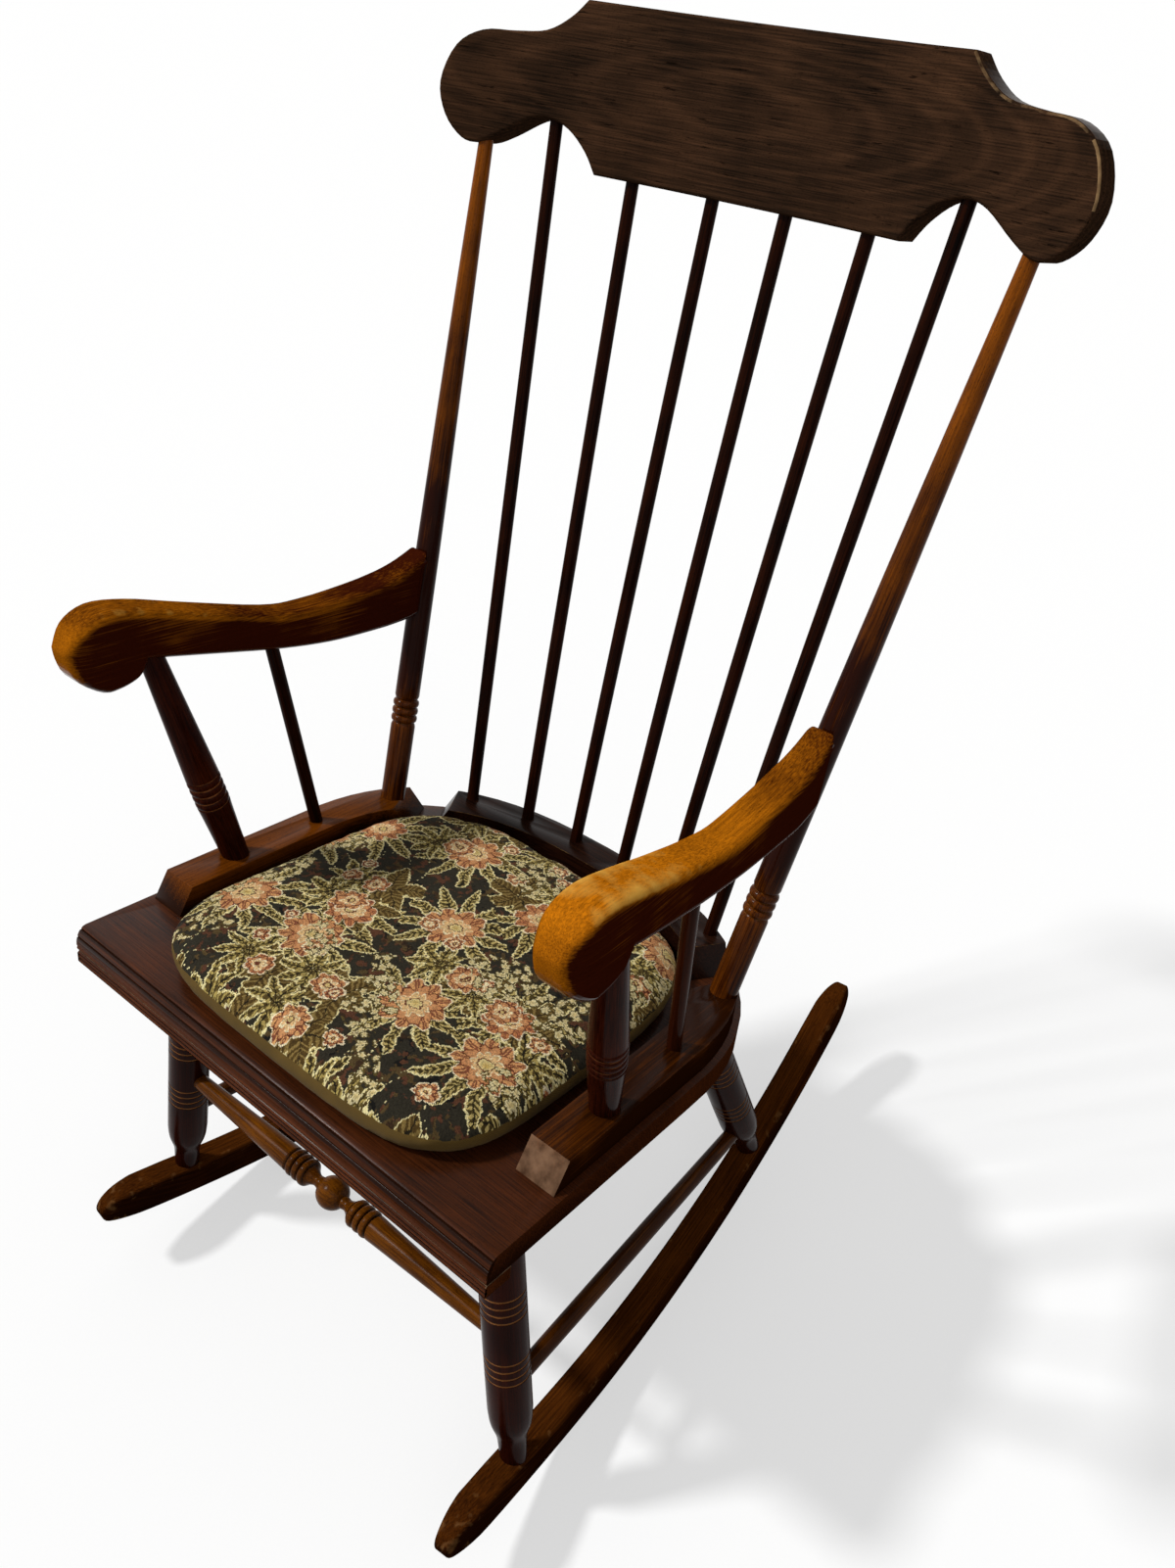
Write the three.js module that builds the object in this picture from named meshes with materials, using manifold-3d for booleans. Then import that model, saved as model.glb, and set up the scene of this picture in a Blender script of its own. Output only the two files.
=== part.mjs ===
// Boston rocking chair in stained beech: a solid seat on four turned legs and two bent runners,
// with raised blocks round the seat, a back of thin spindles under a shaped crest rail, scrolled
// arms and a loose seat pad. The seat frame starts at the middle of the seat's front edge, on its
// top face, with +Y to the back. It is tipped back by SEAT_TILT, as the chair stands at rest.
import * as THREE from 'three';
import { mergeVertices } from 'three/addons/utils/BufferGeometryUtils.js';
import Module from 'manifold-3d';

const wasm = await Module();
wasm.setup();

// Fits between pieces, and how far a cutting shape runs past the wood
const GLUE_GAP = 0.3;
const OVERRUN = 80;

// Seat board, its rounded front edge and the reeded moulding under that edge
const SEAT_TILT = THREE.MathUtils.degToRad(9);
const SEAT_WIDTH = 507;
const SEAT_DEPTH = 428;
const SEAT_THICKNESS = 24;
const SEAT_STRAIGHT_DEPTH = 230;
const SEAT_SIDE_TAPER = 4.5;
const SEAT_BACK_ROUNDNESS = 2.5;
const ROLL_REACH = 11;
const ROLL_DROP = 17.5;
const REED_BULGE = 2;
const MOULDING_HEIGHT = 13.5;
const MOULDING_THICKNESS = 27;
const MOULDING_REEDS = 3;

// Raised blocks on the seat that carry the arms and the back
const BLOCK_HEIGHT = 26;
const BLOCK_WIDTH = 38;
const BLOCK_INSET = 6;
const BLOCK_CHAMFER = 15;
const SIDE_BLOCK_FRONT = 66;
const SIDE_BLOCK_END_ANGLES = [32, 39].map(THREE.MathUtils.degToRad);
const BACK_BLOCK_END_ANGLES = [41, 45].map(THREE.MathUtils.degToRad);
const BLOCK_MORTISE = 16;

// Crest rail
const BACK_RISE = 618.5;
const CREST_SET_BACK = 487.5;
const CREST_LEAN = 0.076;
const CREST_LENGTH = 604;
const CREST_HEIGHT = 128.5;
const CREST_THICKNESS = 28;
const CREST_BOW_RADIUS = 895;
const CREST_MORTISE = 20;

// Spindles and back posts
const SPINDLE_BASE_RADIUS = 5.9;
const SPINDLE_MIDDLE_RADIUS = 6.3;
const SPINDLE_TOP_RADIUS = 5.6;
const POST_BASE_RADIUS = 12.2;
const POST_MIDDLE_RADIUS = 11.6;
const POST_TOP_RADIUS = 6.6;
const POST_BEAD_RADIUS = 13;
const POST_BEAD_HEIGHT = 8;
const POST_BEADS_HEIGHT = 80;
const POST_INSET = 20.5;
const POST_BASE_ANGLE = THREE.MathUtils.degToRad(26.8);

// Arms, their turned front posts and thin spindles
const ARM_FRONT = 5;
const ARM_REAR_GAP = 8;
const ARM_HEIGHT = 83;
const ARM_UNDERSIDE = 212;
const ARM_POST_BASE_RADIUS = 12.4;
const ARM_POST_SWELL_RADIUS = 15.6;
const ARM_POST_TOP_RADIUS = 11;
const ARM_POST_RINGS_HEIGHT = 78;
const ARM_SPINDLE_RADIUS = 6.2;
const ARM_MORTISE = 14;
const ARM_DOWEL_RADIUS = 4;
const ARM_DOWEL_LENGTH = 26;

// Legs
const LEG_RADIUS = 19.6;
const LEG_TOP_RADIUS = 17.5;
const LEG_FOOT_RADIUS = 12;
const LEG_TENON_RADIUS = 11;
const LEG_TENON_LENGTH = 15;
const LEG_SHOULDER_DEPTH = 4.5;
const LEG_ANKLE_LENGTH = 62;
const LEG_ANKLE_NECK = 28;
const FOOT_TENON_RADIUS = 7;
const FOOT_TENON_LENGTH = 14;
const FOOT_SHOULDER_DEPTH = 3;
const GROOVE_PITCH = 8;
const GROOVE_DEPTH = 1;
const GROOVE_WIDTH = 2.4;
const BAND_GROOVES = 4;

// Stretchers
const FRONT_STRETCHER_END_RADIUS = 7.6;
const FRONT_STRETCHER_SWELL_RADIUS = 12.4;
const FRONT_STRETCHER_BALL_RADIUS = 15.6;
const SIDE_STRETCHER_RADIUS = 8.4;
const SIDE_STRETCHER_END_RADIUS = 7.8;
const STRETCHER_MORTISE = 12;

// Runners: an arc about a point above the seat, flatter towards the front, toed in at the back.
// Distances on a runner run along its bottom, forward or back from its lowest point
const RUNNER_RADIUS = 767;
const RUNNER_FLAT_RADIUS = 1500;
const RUNNER_ROUND_LENGTH = 161;
const RUNNER_HEIGHT = 35;
const RUNNER_WIDTH = 29.5;
const RUNNER_CENTRE_DEPTH = 263;
const RUNNER_CENTRE_HEIGHT = 352;
const RUNNER_SIDE_INSET = 17.5;
const RUNNER_TOE_IN = 0.105;
const RUNNER_FRONT_LENGTH = 355;
const RUNNER_REAR_LENGTH = 410;
const RUNNER_TIP_LENGTH = 62;
const RUNNER_FACET_LENGTH = 36.5;
const FRONT_FOOT_LENGTH = 257.5;
const REAR_FOOT_LENGTH = 181;

// Loose seat pad: it lies between the blocks and hangs a little over the seat's front edge
const PAD_SIDE_GAP = 11;
const PAD_BACK_GAP = 12;
const PAD_OVERHANG = 2;
const PAD_THICKNESS = 38;
const PAD_LIFT = 0.4;
const PAD_WIDEST_SHARE = 0.374;
const PAD_FRONT_SQUARENESS = 4.1;
const PAD_REAR_SQUARENESS = 3.5;

// Screws that hold the blocks down, driven up through the seat
const SCREW_RADIUS = 2.4;
const SCREW_HEAD_RADIUS = 4.6;
const SCREW_HEAD_HEIGHT = 3;
const SCREW_LENGTH = 38;
const SCREW_SET = 0.6;

// Where joints lie, as shares of half the seat width and of the seat depth
const FRONT_LEG_SHARES = [0.753, 0.152];
const REAR_LEG_SHARES = [0.663, 0.813];
const ARM_POST_SHARES = [0.897, 0.334];
const ARM_SPINDLE_SHARES = [0.881, 0.554];
const SIDE_SCREW_DEPTH_SHARES = [0.245, 0.45];
const BACK_SCREW_WIDTH_SHARE = 0.23;

// Spindle joints in the seat's back block, then spindle and post joints in the crest rail as
// shares of its half length and of its height
const SPINDLE_BASE_SHARES = [[0.118, 0.948], [0.356, 0.937], [0.598, 0.896]];
const CREST_JOINT_DEPTH_SHARE = 0.44;
const CREST_JOINT_SHARES = [[0.12, 0], [0.386, 0], [0.655, 0.28], [0.866, 0.06]];

// Joints under the arm: share of its length, of its height and of its width
const ARM_POST_TOP_SHARES = [0.216, 0.345, 0.38];
const ARM_SPINDLE_TOP_SHARES = [0.533, 0.095, 0.31];

// Places along a leg, as shares of its length: its two bands of grooves and its stretchers
const FRONT_LEG_BAND_SHARES = [0.3947, 0.6193];
const REAR_LEG_BAND_SHARES = [0.4148, 0.6509];
const FRONT_STRETCHER_SHARE = 0.5506;
const REAR_STRETCHER_SHARE = 0.4017;
const SIDE_STRETCHER_SHARES = [0.7285, 0.8411];

// Half of the crest rail's outline, round its ear from the top: shares of half its length and of
// its height
const CREST_TOP_CORNER_SHARE = 0.579;
const CREST_EDGE_SHARES = [
  [0.625, 0.892], [0.694, 0.798], [0.79, 0.765], [0.887, 0.742], [0.962, 0.63], [1, 0.4], [0.977, 0.2],
  [0.92, 0.075], [0.868, 0.065], [0.805, 0.135], [0.72, 0.255], [0.655, 0.285], [0.59, 0.24], [0.53, 0.125],
];
const CREST_BOTTOM_CORNER_SHARE = 0.491;

// Side view of an arm, as shares of its length and height, then its plan, as shares of its length
// and of half the seat width
const ARM_TOP_SHARES = [
  [0, 0.62], [0.03, 0.832], [0.096, 0.958], [0.19, 0.908], [0.338, 0.73], [0.54, 0.51], [0.65, 0.48],
  [0.836, 0.546], [0.93, 0.643], [1, 0.79],
];
const ARM_BOTTOM_SHARES = [
  [0.979, 0.071], [0.933, 0.02], [0.777, 0.002], [0.656, 0.024], [0.512, 0.106], [0.331, 0.25],
  [0.195, 0.364],
];
const ARM_SCROLL_SHARES = [
  [0.177, 0.22], [0.151, 0.153], [0.114, 0.115], [0.079, 0.127], [0.027, 0.29], [0.006, 0.485], [0, 0.62],
];
const ARM_INNER_SHARES = [
  [0, 0.959], [0.097, 0.955], [0.207, 0.945], [0.317, 0.931], [0.427, 0.915], [0.538, 0.897], [0.703, 0.874],
  [0.868, 0.852], [1, 0.848],
];
const ARM_OUTER_SHARES = [
  [1, 0.955], [0.97, 0.978], [0.868, 0.988], [0.703, 1.008], [0.538, 1.037], [0.427, 1.059], [0.317, 1.079],
  [0.207, 1.097], [0.097, 1.105], [0, 1.105],
];
const ARM_DOWEL_HEIGHT_SHARE = 0.42;

// Half of the front stretcher's turning, from the centre ball outwards: share of the ball's
// radius, share of its offset
const BALL_SHARES = [[1, 0], [0.9, 0.45], [0.62, 0.85], [0.4, 1], [0.36, 1.35], [0.55, 1.75]];

// Rounded runner tips, from the bottom round to the top: share of the tip's length and height
const RUNNER_TIP_SHARES = [[0.13, 0.02], [0.03, 0.17], [0, 0.4], [0.07, 0.64], [0.28, 0.85], [1, 1]];

// Rings of the seat pad from the bottom up: share of its plan and of its thickness
const PAD_RING_SHARES = [
  [0.955, 0], [0.985, 0.07], [1, 0.22], [1, 0.46], [0.99, 0.62], [0.965, 0.75], [0.9, 0.85], [0.7, 0.94],
  [0.4, 0.985],
];

// Number of sides of the turned pieces and of the pad
const LEG_SIDES = 16;
const POST_SIDES = 12;
const SPINDLE_SIDES = 10;
const SCREW_SIDES = 8;
const PAD_SIDES = 56;

const UP = new THREE.Vector3(0, 0, 1);
const SIDES = { left: -1, right: 1 };

function finish(colour, roughness) {
  return new THREE.MeshStandardMaterial({ color: colour, roughness, metalness: 0 });
}

const finishes = {
  seat: () => finish(0x3b1d12, 0.4),
  block: () => finish(0x6b3a18, 0.4),
  dark: () => finish(0x24130c, 0.35),
  crest: () => finish(0x2f1c14, 0.45),
  post: () => finish(0x6a3412, 0.35),
  arm: () => finish(0x9a5a1c, 0.35),
  leg: () => finish(0x2e150b, 0.35),
  stretcher: () => finish(0x7a4417, 0.4),
  runner: () => finish(0x4a2812, 0.45),
  pad: () => finish(0x4b4230, 0.95),
  dowel: () => finish(0xc9a268, 0.7),
  screw: () => new THREE.MeshStandardMaterial({ color: 0x8c8c88, roughness: 0.4, metalness: 1 }),
};

// Solids: closed meshes joined and cut
function toSolid(geometry) {
  const bare = geometry.clone();
  bare.deleteAttribute('normal');
  bare.deleteAttribute('uv');
  const merged = mergeVertices(bare, GLUE_GAP / 1000);
  const vertProperties = new Float32Array(merged.attributes.position.array);
  const triVerts = new Uint32Array(merged.index.array);
  return new wasm.Manifold(new wasm.Mesh({ numProp: 3, vertProperties, triVerts }));
}

function toGeometry(solid) {
  const mesh = solid.getMesh();
  const geometry = new THREE.BufferGeometry();
  geometry.setAttribute('position', new THREE.BufferAttribute(new Float32Array(mesh.vertProperties), 3));
  geometry.setIndex(new THREE.BufferAttribute(new Uint32Array(mesh.triVerts), 1));
  geometry.computeVertexNormals();
  return geometry;
}

function cut(geometry, cutters) {
  return toGeometry(cutters.reduce((solid, cutter) => solid.subtract(toSolid(cutter)), toSolid(geometry)));
}

function common(first, second) {
  return toGeometry(toSolid(first).intersect(toSolid(second)));
}

// Places a shape that was made along +Z so that it runs from one point to another
function alongMatrix(from, to) {
  const turn = new THREE.Quaternion().setFromUnitVectors(UP, to.clone().sub(from).normalize());
  return new THREE.Matrix4().compose(from, turn, new THREE.Vector3(1, 1, 1));
}

// Turned work about +Z, from [radius, height] pairs
function turned(profile, sides) {
  const points = profile.map(([radius, height]) => new THREE.Vector2(radius, height));
  const first = new THREE.Vector2(0, points[0].y);
  const last = new THREE.Vector2(0, points[points.length - 1].y);
  return new THREE.LatheGeometry([first, ...points, last], sides).rotateX(Math.PI / 2);
}

// Sockets for the two ends of a round piece: each starts outside the wood, goes as deep as the
// piece does and leaves a glue gap past its end
function socket([from, to], radius, start, stop, sides) {
  const wall = radius + GLUE_GAP;
  return turned([[wall, start], [wall, stop]], sides).applyMatrix4(alongMatrix(from, to));
}

function footSocket(ends, radius, reach, sides) {
  return socket(ends, radius, -GLUE_GAP, reach, sides);
}

function headSocket(ends, radius, reach, sides) {
  const length = ends[0].distanceTo(ends[1]);
  return socket(ends, radius, length - reach, length + GLUE_GAP, sides);
}

function pointAlong(from, to, distance) {
  return from.clone().lerp(to, distance / from.distanceTo(to));
}

function mirrored(point, side) {
  return new THREE.Vector3(point.x * side, point.y, point.z);
}

function mirroredEnds(ends, side) {
  return ends.map((point) => mirrored(point, side));
}

// Extrudes a plan drawn in X and Y upwards between two heights
function slab(shape, bottom, top, curveSegments = 4) {
  const depth = top - bottom;
  const prism = new THREE.ExtrudeGeometry(shape, { depth, bevelEnabled: false, curveSegments });
  return prism.translate(0, 0, bottom);
}

// Extrudes a side view drawn in Y and Z across the chair between two X values
function across(shape, left, right, curveSegments = 4) {
  const depth = right - left;
  const prism = new THREE.ExtrudeGeometry(shape, { depth, bevelEnabled: false, curveSegments });
  return prism.applyMatrix4(new THREE.Matrix4().set(0, 0, 1, left, 1, 0, 0, 0, 0, 1, 0, 0, 0, 0, 0, 1));
}

function outline(points) {
  return new THREE.Shape(points.map(([x, y]) => new THREE.Vector2(x, y)));
}

const chair = new THREE.Group();
const seatFrame = new THREE.Group();
const levelFrame = new THREE.Group();
seatFrame.rotation.x = -SEAT_TILT;
seatFrame.updateMatrix();
chair.add(seatFrame, levelFrame);

function addMesh(parent, name, geometry, material) {
  const mesh = new THREE.Mesh(geometry, material);
  mesh.name = name;
  parent.add(mesh);
  return mesh;
}

// Adds a turned piece between two points, with a profile worked out for its length
function addTurned(name, ends, profileFor, sides, material) {
  const profile = profileFor(ends[0].distanceTo(ends[1]));
  addMesh(seatFrame, name, turned(profile, sides), material).applyMatrix4(alongMatrix(...ends));
}

// Plan of the seat: straight sides that draw in a little, then one rounded back
function halfWidthAt(depth) {
  return SEAT_WIDTH / 2 - SEAT_SIDE_TAPER * Math.min(depth / SEAT_STRAIGHT_DEPTH, 1);
}

function rimPoint(inset, angle) {
  const power = 2 / SEAT_BACK_ROUNDNESS;
  const x = (halfWidthAt(SEAT_STRAIGHT_DEPTH) - inset) * Math.cos(angle) ** power;
  const y = (SEAT_DEPTH - SEAT_STRAIGHT_DEPTH - inset) * Math.sin(angle) ** power;
  return [x, SEAT_STRAIGHT_DEPTH + y];
}

function rimArc(inset, startAngle, endAngle, steps) {
  const points = [];
  for (let step = 0; step <= steps; step += 1) {
    points.push(rimPoint(inset, startAngle + (endAngle - startAngle) * (step / steps)));
  }
  return points;
}

// Adds the mirror image of a half outline that ends on the centre line
function bothSides(points) {
  const left = points.slice(0, -1).map(([x, y]) => [-x, y]);
  return [...points, ...left.reverse()];
}

function seatPlan() {
  const front = [[halfWidthAt(0), -ROLL_REACH], [halfWidthAt(0), 0]];
  return outline(bothSides([...front, ...rimArc(0, 0, Math.PI / 2, 16)]));
}

// Rounded front edge with one reed at its foot
function reedPoints(top, pitch, count, steps = 4) {
  const points = [];
  for (let reed = 0; reed < count; reed += 1) {
    for (let step = 0; step < steps; step += 1) {
      const bulge = REED_BULGE * Math.sin((Math.PI * step) / steps);
      points.push([REED_BULGE - ROLL_REACH - bulge, top - pitch * (reed + step / steps)]);
    }
  }
  return points;
}

function seatSideView() {
  const roll = [];
  for (let step = 0; step <= 6; step += 1) {
    const angle = (Math.PI / 2) * (step / 6);
    roll.push([-ROLL_REACH * Math.sin(angle), -ROLL_DROP * (1 - Math.cos(angle))]);
  }
  const reed = reedPoints(-ROLL_DROP, SEAT_THICKNESS - ROLL_DROP, 1);
  const foot = [[REED_BULGE - ROLL_REACH, -SEAT_THICKNESS]];
  const back = [[SEAT_DEPTH + OVERRUN, -SEAT_THICKNESS], [SEAT_DEPTH + OVERRUN, 0]];
  return outline([...roll, ...reed, ...foot, ...back]);
}

function seatBoard(cutters) {
  const plan = slab(seatPlan(), -SEAT_THICKNESS - OVERRUN, OVERRUN, 1);
  const side = across(seatSideView(), -SEAT_WIDTH, SEAT_WIDTH, 1);
  return cut(common(plan, side), cutters);
}

function frontMoulding() {
  const top = -SEAT_THICKNESS - GLUE_GAP;
  const reeds = reedPoints(top, MOULDING_HEIGHT / MOULDING_REEDS, MOULDING_REEDS);
  const back = MOULDING_THICKNESS - ROLL_REACH;
  const bottom = top - MOULDING_HEIGHT;
  const view = outline([...reeds, [REED_BULGE - ROLL_REACH, bottom], [back, bottom], [back, top]]);
  return across(view, -halfWidthAt(0), halfWidthAt(0), 1);
}

// Raised blocks follow the seat's edge at a set distance
function blockStrip(outer, inner) {
  return slab(outline([...outer, ...[...inner].reverse()]), GLUE_GAP, BLOCK_HEIGHT);
}

// A slanted cut across the end of a block: its lower edge runs through two plan points
function endChamfer([x1, y1], [x2, y2], side) {
  const run = BLOCK_CHAMFER * side;
  const past = OVERRUN * side;
  const wedge = outline([[0, 0], [run, BLOCK_HEIGHT], [run, OVERRUN], [-past, OVERRUN], [-past, 0]]);
  const prism = across(wedge, -OVERRUN, OVERRUN, 1);
  return prism.rotateZ(Math.atan2(y2 - y1, x2 - x1)).translate((x1 + x2) / 2, (y1 + y2) / 2, 0);
}

function sideBlock(cutters) {
  const [innerEnd, outerEnd] = SIDE_BLOCK_END_ANGLES;
  const outerInset = BLOCK_INSET;
  const innerInset = BLOCK_INSET + BLOCK_WIDTH;
  const front = (inset) => [halfWidthAt(SIDE_BLOCK_FRONT) - inset, SIDE_BLOCK_FRONT];
  const outer = [front(outerInset), ...rimArc(outerInset, 0, outerEnd, 8)];
  const inner = [front(innerInset), ...rimArc(innerInset, 0, innerEnd, 6)];
  const frontCut = endChamfer(inner[0], outer[0], 1);
  const rearCut = endChamfer(inner.at(-1), outer.at(-1), -1);
  return cut(blockStrip(outer, inner), [frontCut, rearCut, ...cutters]);
}

function backBlock(cutters) {
  const [innerEnd, outerEnd] = BACK_BLOCK_END_ANGLES;
  const outerInset = BLOCK_INSET;
  const innerInset = BLOCK_INSET + BLOCK_WIDTH;
  const outer = rimArc(outerInset, outerEnd, Math.PI / 2, 8);
  const inner = rimArc(innerInset, innerEnd, Math.PI / 2, 8);
  const endCut = endChamfer(inner[0], outer[0], 1);
  return cut(blockStrip(bothSides(outer), bothSides(inner)), [endCut, mirrorGeometry(endCut), ...cutters]);
}

// Puts a mirrored geometry's faces the right way round again
function flipped(geometry) {
  const position = geometry.attributes.position;
  for (let corner = 0; corner < position.count; corner += 3) {
    for (const read of ['X', 'Y', 'Z']) {
      const kept = position[`get${read}`](corner + 1);
      position[`set${read}`](corner + 1, position[`get${read}`](corner + 2));
      position[`set${read}`](corner + 2, kept);
    }
  }
  return geometry;
}

function mirrorGeometry(geometry) {
  const copy = geometry.index ? geometry.toNonIndexed() : geometry.clone();
  return flipped(copy.scale(-1, 1, 1));
}

// Seat plan shares to a point on the seat's top face
function seatPoint([widthShare, depthShare], height) {
  return new THREE.Vector3((SEAT_WIDTH / 2) * widthShare, SEAT_DEPTH * depthShare, height);
}

// Crest rail: a shaped outline cut through a bowed slab that leans back
const crestMatrix = new THREE.Matrix4()
  .makeTranslation(0, CREST_SET_BACK, BACK_RISE)
  .multiply(new THREE.Matrix4().makeRotationX(-CREST_LEAN));

function crestOutline() {
  const half = CREST_LENGTH / 2;
  const bottom = [half * CREST_BOTTOM_CORNER_SHARE, 0];
  const edge = CREST_EDGE_SHARES.map(([x, z]) => [half * x, CREST_HEIGHT * z]);
  const right = [...edge, bottom].map(([x, z]) => new THREE.Vector2(x, z));
  const left = [...edge].reverse().map(([x, z]) => new THREE.Vector2(-x, z));
  const shape = new THREE.Shape();
  shape.moveTo(half * CREST_TOP_CORNER_SHARE, CREST_HEIGHT);
  shape.splineThru(right);
  shape.lineTo(-bottom[0], 0);
  shape.splineThru([...left, new THREE.Vector2(-half * CREST_TOP_CORNER_SHARE, CREST_HEIGHT)]);
  return shape;
}

function bow(radius, x) {
  return Math.sqrt(radius ** 2 - x ** 2) - CREST_BOW_RADIUS;
}

function crestSlab() {
  const steps = 16;
  const reach = CREST_LENGTH / 2 + CREST_THICKNESS;
  const front = [];
  const back = [];
  for (let step = 0; step <= steps; step += 1) {
    const x = reach * (1 - (2 * step) / steps);
    front.push([x, bow(CREST_BOW_RADIUS, x)]);
    back.push([x, bow(CREST_BOW_RADIUS + CREST_THICKNESS, x)]);
  }
  return slab(outline([...back, ...front.reverse()]), -OVERRUN, CREST_HEIGHT + OVERRUN, 1);
}

function crestRail(cutters) {
  const prism = slab(crestOutline(), -OVERRUN, OVERRUN * 3, 2).rotateX(Math.PI / 2);
  const toLocal = crestMatrix.clone().invert();
  const localCutters = cutters.map((cutter) => cutter.clone().applyMatrix4(toLocal));
  return cut(common(prism, crestSlab()), localCutters);
}

// Place of a joint in the crest rail's thickness, a given depth into its lower edge
function crestJoint([lengthShare, heightShare], depth) {
  const x = (CREST_LENGTH / 2) * lengthShare;
  const y = bow(CREST_BOW_RADIUS + CREST_THICKNESS * CREST_JOINT_DEPTH_SHARE, x);
  return new THREE.Vector3(x, y, CREST_HEIGHT * heightShare + depth).applyMatrix4(crestMatrix);
}

// Beads and grooves cut by the turner
function beads(bottom, height, count, radius, neck) {
  const points = [];
  for (let bead = 0; bead < count; bead += 1) {
    const start = bottom + bead * height;
    points.push([neck, start], [radius, start + height * 0.28], [radius, start + height * 0.72]);
  }
  return [...points, [neck, bottom + count * height]];
}

function grooves(centre, radiusAt) {
  const points = [];
  for (let groove = 0; groove < BAND_GROOVES; groove += 1) {
    const middle = centre + GROOVE_PITCH * (groove - (BAND_GROOVES - 1) / 2);
    const half = GROOVE_WIDTH / 2;
    points.push([radiusAt, middle - half], [radiusAt - GROOVE_DEPTH, middle], [radiusAt, middle + half]);
  }
  return points;
}

// Back posts: straight foot, three beads, then a long taper to the crest rail
function postEnds() {
  const [x, y] = rimPoint(POST_INSET, POST_BASE_ANGLE);
  const from = new THREE.Vector3(x, y, BLOCK_HEIGHT - BLOCK_MORTISE);
  return [from, crestJoint(CREST_JOINT_SHARES[3], CREST_MORTISE)];
}

function postProfile(length) {
  const start = BLOCK_MORTISE + POST_BEADS_HEIGHT;
  const end = start + 3 * POST_BEAD_HEIGHT;
  const neck = POST_BASE_RADIUS - GROOVE_DEPTH * 2;
  return [
    [POST_BASE_RADIUS, 0], [POST_BASE_RADIUS, start - GROOVE_WIDTH],
    ...beads(start, POST_BEAD_HEIGHT, 3, POST_BEAD_RADIUS, neck),
    [POST_BASE_RADIUS, end + GROOVE_WIDTH], [POST_MIDDLE_RADIUS, length * 0.42],
    [POST_TOP_RADIUS, length - CREST_MORTISE], [POST_TOP_RADIUS, length],
  ];
}

function spindleEnds(index) {
  const from = seatPoint(SPINDLE_BASE_SHARES[index], BLOCK_HEIGHT - BLOCK_MORTISE);
  return [from, crestJoint(CREST_JOINT_SHARES[index], CREST_MORTISE)];
}

function spindleProfile(length) {
  return [[SPINDLE_BASE_RADIUS, 0], [SPINDLE_MIDDLE_RADIUS, length * 0.4], [SPINDLE_TOP_RADIUS, length]];
}

// Arms: a scrolled side view and a swept plan, cut out of one plank. The arm runs back to the
// back post and stops short of the post's middle
function postPointAt(height) {
  const [from, to] = postEnds();
  return from.clone().lerp(to, (height - from.z) / (to.z - from.z));
}

function armDowelStart() {
  return postPointAt(ARM_UNDERSIDE + ARM_HEIGHT * ARM_DOWEL_HEIGHT_SHARE);
}

function armLength() {
  return armDowelStart().y - ARM_REAR_GAP - ARM_FRONT;
}

function armPlace([lengthShare, heightShare]) {
  return new THREE.Vector2(ARM_FRONT + armLength() * lengthShare, ARM_UNDERSIDE + ARM_HEIGHT * heightShare);
}

function armSideView() {
  const shape = new THREE.Shape();
  const start = armPlace(ARM_TOP_SHARES[0]);
  shape.moveTo(start.x, start.y);
  shape.splineThru(ARM_TOP_SHARES.slice(1).map(armPlace));
  const rear = armPlace(ARM_BOTTOM_SHARES[0]);
  shape.lineTo(rear.x, rear.y);
  shape.splineThru(ARM_BOTTOM_SHARES.slice(1).map(armPlace));
  shape.splineThru(ARM_SCROLL_SHARES.map(armPlace));
  return shape;
}

function armPlanPoint([lengthShare, widthShare]) {
  return new THREE.Vector2((SEAT_WIDTH / 2) * widthShare, ARM_FRONT + armLength() * lengthShare);
}

function armPlan() {
  const shape = new THREE.Shape();
  const start = armPlanPoint(ARM_INNER_SHARES[0]);
  shape.moveTo(start.x, start.y);
  shape.splineThru(ARM_INNER_SHARES.slice(1).map(armPlanPoint));
  const rear = armPlanPoint(ARM_OUTER_SHARES[0]);
  shape.lineTo(rear.x, rear.y);
  shape.splineThru(ARM_OUTER_SHARES.slice(1).map(armPlanPoint));
  return shape;
}

function armPiece(cutters) {
  const top = ARM_UNDERSIDE + ARM_HEIGHT;
  const plan = slab(armPlan(), ARM_UNDERSIDE - OVERRUN, top + OVERRUN, 2);
  return cut(common(across(armSideView(), 0, SEAT_WIDTH, 2), plan), cutters);
}

function shareOf(table, share) {
  const sorted = [...table].sort((first, second) => first[0] - second[0]);
  const index = Math.max(1, sorted.findIndex(([place]) => place >= share));
  const [start, end] = [sorted[index - 1], sorted[index]];
  return THREE.MathUtils.mapLinear(share, start[0], end[0], start[1], end[1]);
}

function armJoint([lengthShare, heightShare, acrossShare]) {
  const { x: y, y: z } = armPlace([lengthShare, heightShare]);
  const inner = shareOf(ARM_INNER_SHARES, lengthShare);
  const outer = shareOf(ARM_OUTER_SHARES, lengthShare);
  return new THREE.Vector3((SEAT_WIDTH / 2) * (inner + (outer - inner) * acrossShare), y, z);
}

function armPostEnds() {
  const base = seatPoint(ARM_POST_SHARES, BLOCK_HEIGHT);
  const top = armJoint(ARM_POST_TOP_SHARES);
  const reach = base.distanceTo(top);
  return [pointAlong(base, top, -BLOCK_MORTISE), pointAlong(base, top, reach + ARM_MORTISE)];
}

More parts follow.
